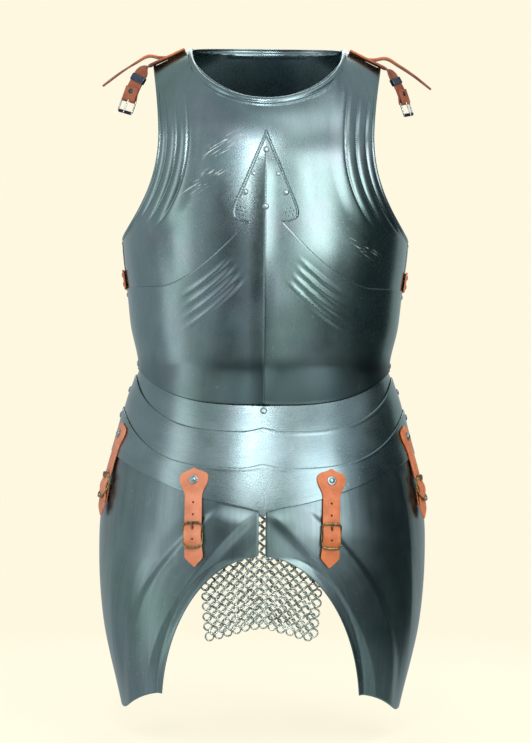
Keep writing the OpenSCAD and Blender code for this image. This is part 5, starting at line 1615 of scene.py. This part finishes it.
SIDE_Z, SIDE_STRAP_H, SIDE_HEEL_ANGLE, SIDE_TIP_ANGLE = 109.0, 24.0, 118.0, 109.5
SIDE_IN = PLACKART_OFF + STRAP_GAP + 0.2
SIDE_RISE = 2 * LOOP_R + 0.6
SIDE_FOOT = skin(SIDE_HEEL_ANGLE, SIDE_Z)
SIDE_X = skin_normal(SIDE_HEEL_ANGLE, SIDE_FOOT)
SIDE_Y = unit(np.array([SIDE_X[1], -SIDE_X[0], 0.0]))
SIDE_HEEL_X = PLACKART_OFF + STRAP_GAP + LOOP_R
SIDE_RAIL_W = SIDE_STRAP_H / 2 + WIRE_R + 0.5


def side_frame(side):
    return Frame(SIDE_FOOT, SIDE_X, SIDE_Y, side)


def side_lift(a):
    """How far the side strap rises over the chape of its buckle."""
    return SIDE_RISE * smooth((a - 98) / 12)


def side_tip():
    """The buckle's free bar in its frame: (x, y)."""
    off = SIDE_IN + float(side_lift(SIDE_TIP_ANGLE)) + STRAP_T + STRAP_GAP + WIRE_R + 0.3
    d = on_skin(SIDE_TIP_ANGLE, SIDE_Z, off) - SIDE_FOOT
    return float(d @ SIDE_X), float(d @ SIDE_Y)


def side_strap(side):
    """A closing strap along the surface, over the buckle's bar."""
    a = np.linspace(85, 130, 160)
    path = on_skin(a, np.full(len(a), SIDE_Z), SIDE_IN + side_lift(a) + STRAP_T)
    across = unit(np.cross(headings(path), skin_normal(a, skin(a, SIDE_Z))))
    bar = float(gone(path[a <= SIDE_HEEL_ANGLE])[-1])

    def width(v):
        return SIDE_STRAP_H / 2 * (0.12 + 0.88 * smooth((v[-1] - v + 2) / 12) ** 0.6)

    holes = [(bar - 9.0, 0, 4.6, 2.2), (bar + 8.0, 0, 1.9, 1.9)]
    return sided(strap(path, across, width, STRAP_T, holes, swell=0.8), side)


def side_rivets_front():
    off = SIDE_IN + STRAP_T
    solid = rivet(3.2, off + PLATE_T + 0.5, 1.2, False)
    return joined([one for z in (SIDE_Z - 6, SIDE_Z + 6) for one in both_sides(87.5, z, off, solid)])


def side_rivets_back():
    at = side_frame(1)
    head = at.at((PLACKART_OFF + STRAP_GAP + 2 * CHAPE_T, CHAPE_RIVET_UP - CHAPE_L, 0))
    solid = rivet(3, 2 * CHAPE_T + STRAP_GAP + PLATE_T + 1.5, 0.9, False)
    return joined([Frame(head, at.axes[1], at.axes[2], side).carry(solid) for side in (-1, 1)])


def side_buckle(side):
    """A frame from the folded chape to the tip, level with the strap there."""
    x, y = side_tip()
    outline = flat_frame(SIDE_RAIL_W, 0, y, lambda v: mix(SIDE_HEEL_X, x, v / y), 4.0, (0.0, 0.8))
    return side_frame(side).carry(outline)


def side_prong(side):
    """A prong from the chape's fold over the strap to the frame."""
    x, y = side_tip()
    knots = [(SIDE_HEEL_X + WIRE_R + 0.9, 0.4), (SIDE_HEEL_X + WIRE_R + 1.6, 0.3 * y),
             (x + WIRE_R + 1.2, 0.8 * y), (x + WIRE_R + 0.9, y), (x + WIRE_R + 0.6, y + 1.9)]
    return side_frame(side).carry(prong(SIDE_HEEL_X, knots))


def side_chape(side):
    back = PLACKART_OFF + STRAP_GAP
    return side_frame(side).carry(chape(SIDE_HEEL_X, back, back, CHAPE_L, STRAP_W - 3))


# Mail

MAIL_HALF_W, MAIL_L, MAIL_CORNER, MAIL_TAPER, MAIL_TOP_Z = 82.0, 175.0, 19.0, 14.0, BAND_LOW_Z - 0.4
RING_R, RING_WIRE, RING_ROWS, RING_COLUMNS = 5.3, 1.25, 31, 12
RING_IN, RING_TILT = 3.9, 27.0
# Points round a ring and round its wire
RING_SIDES, WIRE_SIDES = 14, 4
MAIL_SEED = 11


def mail_y(x):
    """Depth of the tassets' inner side at x, at the height of the mail's band."""
    return on_skin(np.sign(x) * angle_at(x, BAND_LOW_Z), BAND_LOW_Z, TASSET_OFF - 1.6)[..., 1]


def mail_rings():
    """Linked rings in rows shifted by half a ring, each row tilted the other way.

    A ring is (R + r cos g)(cos f X + sin f T) + r sin g N, with X along the row, T its tilted upright
    axis and N its own normal; its place, tilt and turn vary a little."""
    random = np.random.default_rng(MAIL_SEED)
    row, column = np.mgrid[0:RING_ROWS, 0:RING_COLUMNS]
    row, column = row.ravel(), column.ravel()
    s = (row + 0.25) / (RING_ROWS - 0.75)
    x = (column - (RING_COLUMNS - 1) / 2 + 0.5 * (row % 2) - 0.25) * (2 * MAIL_HALF_W - 4) / RING_COLUMNS
    low = MAIL_TOP_Z - MAIL_L - MAIL_CORNER * (np.abs(x) / MAIL_HALF_W) ** 1.2
    x = x * (1 - MAIL_TAPER / MAIL_HALF_W * s ** 1.5)
    z = mix(MAIL_TOP_Z, low + RING_R + RING_WIRE, s)
    y = mail_y(x) + RING_IN
    centre = np.stack([x, y, z], -1) + random.normal(0, 0.28, (len(x), 3))
    slope = (mail_y(x + 1) - mail_y(x - 1)) / 2
    across = unit(np.stack([np.ones_like(x), slope, random.normal(0, 0.05, len(x))], -1))
    tilt = np.radians(np.where(row % 2, RING_TILT, -RING_TILT) * np.where(row == RING_ROWS - 1, 0.3, 1)
                      + random.normal(0, 4, len(x)))
    back = unit(np.cross(across, (0.0, 0.0, 1.0)))
    upright = np.cos(tilt)[:, None] * np.array([0.0, 0.0, 1.0]) - np.sin(tilt)[:, None] * back
    normal = unit(np.cross(across, upright))
    f = 2 * np.pi * np.arange(RING_SIDES) / RING_SIDES
    g = 2 * np.pi * (np.arange(WIRE_SIDES) + 0.5) / WIRE_SIDES
    radial = np.cos(f)[None, :, None] * across[:, None] + np.sin(f)[None, :, None] * upright[:, None]
    radius = RING_R + RING_WIRE * np.cos(g)
    points = (centre[:, None, None] + radius[None, None, :, None] * radial[:, :, None]
              + (RING_WIRE * np.sin(g))[None, None, :, None] * normal[:, None, None])
    ring = ring_faces(RING_SIDES, WIRE_SIDES, True)[0][:, ::-1]
    starts = RING_SIDES * WIRE_SIDES * np.arange(len(x))
    return points.reshape(-1, 3), [(ring[None] + starts[:, None, None]).reshape(-1, 4)]


class RivetsOperator(bpy.types.Operator):
    """Set the domed rivets of the plates"""
    bl_idname = "cuirass.rivets"
    bl_label = "Rivets"

    def execute(self, context):
        keel_h = context.scene.cuirass_forms.keel_h / MM
        upper, lower = (PIVOT1_Z, LAME1_OFF, LAME2_OFF), (PIVOT2_Z, LAME2_OFF, LAME3_OFF)
        straps = joined([strap_rivet(place, side) for place in STRAP_PLACES for side in (-1, 1)])
        for name, solid, body in (
                ("plackart_rivets", plackart_rivets(keel_h), "root"),
                ("waist_rivets", waist_rivets(), "root"),
                ("culet_waist_rivets", culet_waist_rivets(), "back"),
                ("fauld_rivets_12", pivot_rivets(*upper), "root"),
                ("fauld_rivets_23", pivot_rivets(*lower), "lame_2"),
                ("culet_rivets_12", pivot_rivets(*upper, CULET_PIVOT), "back"),
                ("culet_rivets_23", pivot_rivets(*lower, CULET_PIVOT), "culet_2"),
                ("strap_rivets", straps, "lame_3"),
                ("shoulder_rivets_front", shoulder_rivets(-SHOULDER_Y, HANGER_LIFT), "root"),
                ("shoulder_rivets_back", shoulder_rivets(SHOULDER_Y, TONGUE_LIFT), "back"),
                ("side_rivets_front", side_rivets_front(), "root")):
            solid_piece("worked_" + name, solid, body, "rivet_steel", "rivet_steel", name)
        return {"FINISHED"}


SIDES = {"left": -1, "right": 1}


class TassetStrapsOperator(bpy.types.Operator):
    """Cut, punch and hang the tassets' leather straps"""
    bl_idname = "cuirass.tasset_straps"
    bl_label = "Tasset straps"

    def execute(self, context):
        for side, sign in SIDES.items():
            leather_name = "salmon_leather" if side == "left" else "orange_leather"
            for kind, place in (("front", FRONT_STRAP), ("hip", HIP_STRAP)):
                obj = solid_piece(f"{kind}_tasset_strap_{side}", tasset_strap(place, sign), None,
                                  leather_name, "tan_leather", f"{kind}_strap_{side}")
                high, low = (on_skin(place.angle, z, LAME3_OFF) * (sign, 1, 1) * MM
                             for z in (place.edge_z, place.edge_z - 14))
                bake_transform(obj)
            solid_piece(f"folded_chapes_{side}", joined([tasset_chape(p, sign) for p in STRAP_PLACES]),
                        f"thigh_{side}", leather_name, "tan_leather", f"chapes_{side}")
        return {"FINISHED"}


class TassetBucklesOperator(bpy.types.Operator):
    """Bend the tassets' brass buckles and prongs"""
    bl_idname = "cuirass.tasset_buckles"
    bl_label = "Tasset buckles"

    def execute(self, context):
        for side, sign in SIDES.items():
            for name, node, build in (("bowed_buckles", "buckles", tasset_buckle),
                                      ("bent_prongs", "prongs", tasset_prong),
                                      ("domed_chape_rivets", "chape_rivets", chape_rivet)):
                solid_piece(f"{name}_{side}", joined([build(p, sign) for p in STRAP_PLACES]),
                            f"thigh_{side}", "antique_brass", "antique_brass", f"{node}_{side}")
        return {"FINISHED"}


class ShouldersOperator(bpy.types.Operator):
    """Make the shoulder tongues, hangers, keepers and roller buckles"""
    bl_idname = "cuirass.shoulders"
    bl_label = "Shoulder straps"

    def execute(self, context):
        for side, sign in SIDES.items():
            solid_piece(f"tongue_{side}", shoulder_tongue(sign), "back", "brown_leather", "dark_leather",
                        f"shoulder_tongue_{side}")
            solid_piece(f"hanger_{side}", hanger(sign), "root", "brown_leather", "dark_leather",
                        f"shoulder_strap_{side}")
            outline, roller = shoulder_buckle(sign)
            solid_piece(f"roller_buckle_{side}", outline, f"frame_{side}", "nickel", "nickel",
                        f"shoulder_buckle_{side}")
            solid_piece(f"roller_{side}", roller, f"frame_{side}", "black_roller", "nickel")
            solid_piece(f"roller_prong_{side}", shoulder_prong(sign), f"prong_{side}", "nickel", "nickel",
                        f"shoulder_prong_{side}")
        # The keepers' dark navy colour, also worn by the flap rivets, is painted reflection of dark
        # surroundings on bright metal
        solid_piece("keeper_bands", joined([keeper(-1), keeper(1)]), "root", "blued_keeper", "nickel",
                    "shoulder_keepers")
        solid_piece("flap_rivets", joined([flap_rivet(-1), flap_rivet(1)]), "root", "blued_keeper",
                    "rivet_steel")
        return {"FINISHED"}


class SidesOperator(bpy.types.Operator):
    """Make the side straps and the buckles on the back plate's edges"""
    bl_idname = "cuirass.sides"
    bl_label = "Side closures"

    def execute(self, context):
        for side, sign in SIDES.items():
            obj = solid_piece(f"closing_strap_{side}", side_strap(sign), None if side == "left" else "root",
                              "orange_leather", "tan_leather", f"side_strap_{side}")
            if side == "left":
                start, end = (on_skin(a, SIDE_Z, PLACKART_OFF) * (sign, 1, 1) * MM for a in (88.0, 100.0))
                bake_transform(obj)
        for name, node, build, material, slot in (
                ("closing_chapes", "side_chapes", side_chape, "orange_leather", "tan_leather"),
                ("closing_buckles", "side_buckles", side_buckle, "antique_brass", "antique_brass"),
                ("closing_prongs", "side_prongs", side_prong, "antique_brass", "antique_brass")):
            solid_piece(name, joined([build(-1), build(1)]), "back", material, slot, node)
        solid_piece("closing_rivets", side_rivets_back(), "back", "antique_brass", "antique_brass",
                    "side_rivets_back")
        return {"FINISHED"}


class MailOperator(bpy.types.Operator):
    """Link the rings of the mail apron and finish the band that carries it"""
    bl_idname = "cuirass.mail"
    bl_label = "Mail"

    def execute(self, context):
        solid_piece("mail_rings", mail_rings(), "mail", "mail_wire", "mail_steel", "mail_apron")
        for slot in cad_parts["mail_band"].material_slots:
            slot.material = finish("brown_leather")
        return {"FINISHED"}


# Azimuth and elevation in degrees, width and height in metres and power in watts of each lamp;
# azimuth 0 is the front and 90 the viewer's right
LAMP_DISTANCE = 2.6
LAMPS = {"key": (27, 14, 1.1, 1.9, 24), "high_key": (28, 58, 1.1, 1.0, 5), "low_key": (8, -18, 0.4, 0.9, 1.3),
         "strip": (-4, 31, 0.2, 1.5, 14), "fill": (-52, 14, 0.7, 2.6, 8),
         "low_fill": (-66, -22, 0.8, 1.2, 3.2), "back": (180, 40, 2.0, 1.6, 24)}
# Azimuth in degrees, and distance, width, foot and top in metres, and the shade of each card
CARDS = {"card_right": (88, 1.5, 1.9, -1.1, 0.75, (0.03, 0.045, 0.05)),
         "card_low_right": (45, 2.6, 1.9, -1.9, -0.3, (0.13, 0.155, 0.16)),
         "card_front_left": (-17, 3.2, 0.8, -2.0, 1.2, (0.018, 0.026, 0.028))}
# The sky's colour where plates reflect it, and in the light that it gives
SKY_SEEN, SKY_LIGHT = (0.52, 0.58, 0.59), (0.85, 0.87, 0.88)
# Half the floor's width and where it has faded away, in metres, and the share of it that is not lit
FLOOR_HALF, FLOOR_FADE, FLOOR_GLOW = 1.6, 1.3, 0.75
# Rows of the picture, the sensor's width in millimetres and the camera's place in metres
IMAGE_ROWS, SENSOR_W, CAMERA_X, CAMERA_Z = 743, 36.0, 0.0021, -0.0085


def softbox(name, azimuth, elevation, width, height, power):
    """A rectangular lamp that faces the middle of the cuirass."""
    a, e = math.radians(azimuth), math.radians(elevation)
    place = Vector((math.sin(a) * math.cos(e), -math.cos(a) * math.cos(e), math.sin(e))) * LAMP_DISTANCE
    data = bpy.data.lights.new(name, "AREA")
    data.shape, data.size, data.size_y, data.energy = "RECTANGLE", width, height, power
    lamp = bpy.data.objects.new(name, data)
    lamp.matrix_world = Matrix.Translation(place) @ place.to_track_quat("Z", "Y").to_matrix().to_4x4()
    lamp.visible_camera = False
    bpy.context.scene.collection.objects.link(lamp)


def stage_sheet(name, corners):
    """A flat sheet of the stage, and the nodes of its material, which are still to be made."""
    mesh = bpy.data.meshes.new(name)
    mesh.from_pydata(corners, [], [(0, 1, 2, 3)])
    obj = bpy.data.objects.new(name, mesh)
    bpy.context.scene.collection.objects.link(obj)
    p = Paint(name)
    mesh.materials.append(p.material)
    return obj, p


def card(name, azimuth, distance, width, low, high, shade):
    """An upright dark card beside the cuirass, which the plates reflect as their dark bands."""
    a = math.radians(azimuth)
    centre = np.array([math.sin(a), -math.cos(a)]) * distance
    across = np.array([math.cos(a), math.sin(a)]) * width / 2
    left, right = centre - across, centre + across
    obj, p = stage_sheet(name, [(*left, low), (*right, low), (*right, high), (*left, high)])
    p.end(p.add("Emission", {}, {"Color": shade, "Strength": 1.0}))
    obj.visible_camera = obj.visible_shadow = obj.visible_diffuse = False


class StageOperator(bpy.types.Operator):
    """Set the pale floor, the backdrop, the lamps and the camera"""
    bl_idname = "cuirass.stage"
    bl_label = "Stage"

    def execute(self, context):
        scene, stage = context.scene, context.scene.cuirass_stage
        scene.view_settings.view_transform = "Standard"
        self.world(scene, stage)
        self.floor(stage)
        for name, values in LAMPS.items():
            softbox(name, *values)
        for name, values in CARDS.items():
            card(name, *values)
        self.camera(scene, stage)
        return {"FINISHED"}

    def world(self, scene, stage):
        """The backdrop's colour for the camera, a duller sky for reflections and a pale one as light."""
        scene.world = bpy.data.worlds.new("studio")
        p = Paint("studio", scene.world)
        camera, glossy = (p.add("LightPath", output=f"Is {kind} Ray") for kind in ("Camera", "Glossy"))
        colour = p.blend(camera, p.blend(glossy, SKY_LIGHT, SKY_SEEN), tuple(stage.backdrop))
        p.end(p.add("Background", {}, {"Color": colour, "Strength": 1.0}), "World")

    def floor(self, stage):
        """A pale floor that fades into the backdrop away from the cuirass and keeps its shadow."""
        ends = ((-1, -1), (1, -1), (1, 1), (-1, 1))
        obj, p = stage_sheet("floor", [(x * FLOOR_HALF, y * FLOOR_HALF, stage.floor_z) for x, y in ends])
        seen = p.add("LightPath", output="Is Camera Ray")
        near = p.near((0.0, 0.0, stage.floor_z), FLOOR_FADE)
        backdrop = tuple(stage.backdrop)
        lit = p.add("BsdfDiffuse", {}, {"Color": backdrop})
        flat = p.add("Emission", {}, {"Color": backdrop, "Strength": 1.0})
        shown = p.add("MixShader", {}, {0: seen * FLOOR_GLOW, 1: lit, 2: flat})
        p.end(p.add("MixShader", {}, {0: near, 1: p.add("BsdfTransparent"), 2: shown}))
        obj.visible_glossy = False

    def camera(self, scene, stage):
        """A level camera at the front whose picture shows image_step a row in the side line's plane."""
        data = bpy.data.cameras.new("camera")
        data.type = "PERSP"
        data.sensor_fit = "AUTO"
        data.sensor_width = SENSOR_W
        data.lens = SENSOR_W * stage.distance / (IMAGE_ROWS * stage.image_step)
        data.dof.use_dof = False
        obj = bpy.data.objects.new("camera", data)
        turn = Matrix.Rotation(math.pi / 2, 4, "X") @ Matrix.Rotation(stage.lean, 4, "Z")
        obj.matrix_world = Matrix.Translation((CAMERA_X, -stage.distance, CAMERA_Z)) @ turn
        scene.collection.objects.link(obj)
        scene.camera = obj


STEPS = (BreastOperator, BackOperator, FauldOperator, TassetsOperator, RivetsOperator, TassetStrapsOperator,
         TassetBucklesOperator, ShouldersOperator, SidesOperator, MailOperator, StageOperator)
GROUPS = {"cuirass_finish": CuirassFinish, "cuirass_forms": CuirassForms, "cuirass_stage": CuirassStage}


class CuirassPanel(bpy.types.Panel):
    """Sidebar panel with the cuirass's sizes, finishes and steps"""
    bl_idname = "VIEW3D_PT_cuirass"
    bl_label = "Cuirass"
    bl_space_type = "VIEW_3D"
    bl_region_type = "UI"
    bl_category = "Cuirass"

    def draw(self, context):
        for attribute, group in GROUPS.items():
            box = self.layout.box()
            for field in group.__annotations__:
                box.prop(getattr(context.scene, attribute), field)
        for step in STEPS:
            self.layout.operator(step.bl_idname)


def register():
    for cls in (*GROUPS.values(), *STEPS, CuirassPanel):
        bpy.utils.register_class(cls)
    for attribute, group in GROUPS.items():
        setattr(bpy.types.Scene, attribute, bpy.props.PointerProperty(type=group))


def unregister():
    for attribute in GROUPS:
        delattr(bpy.types.Scene, attribute)
    for cls in (CuirassPanel, *STEPS[::-1], *GROUPS.values()):
        bpy.utils.unregister_class(cls)


def main():
    register()
    for step in STEPS:
        group, name = step.bl_idname.split(".")
        getattr(getattr(bpy.ops, group), name)()


if __name__ == "__main__":
    main()
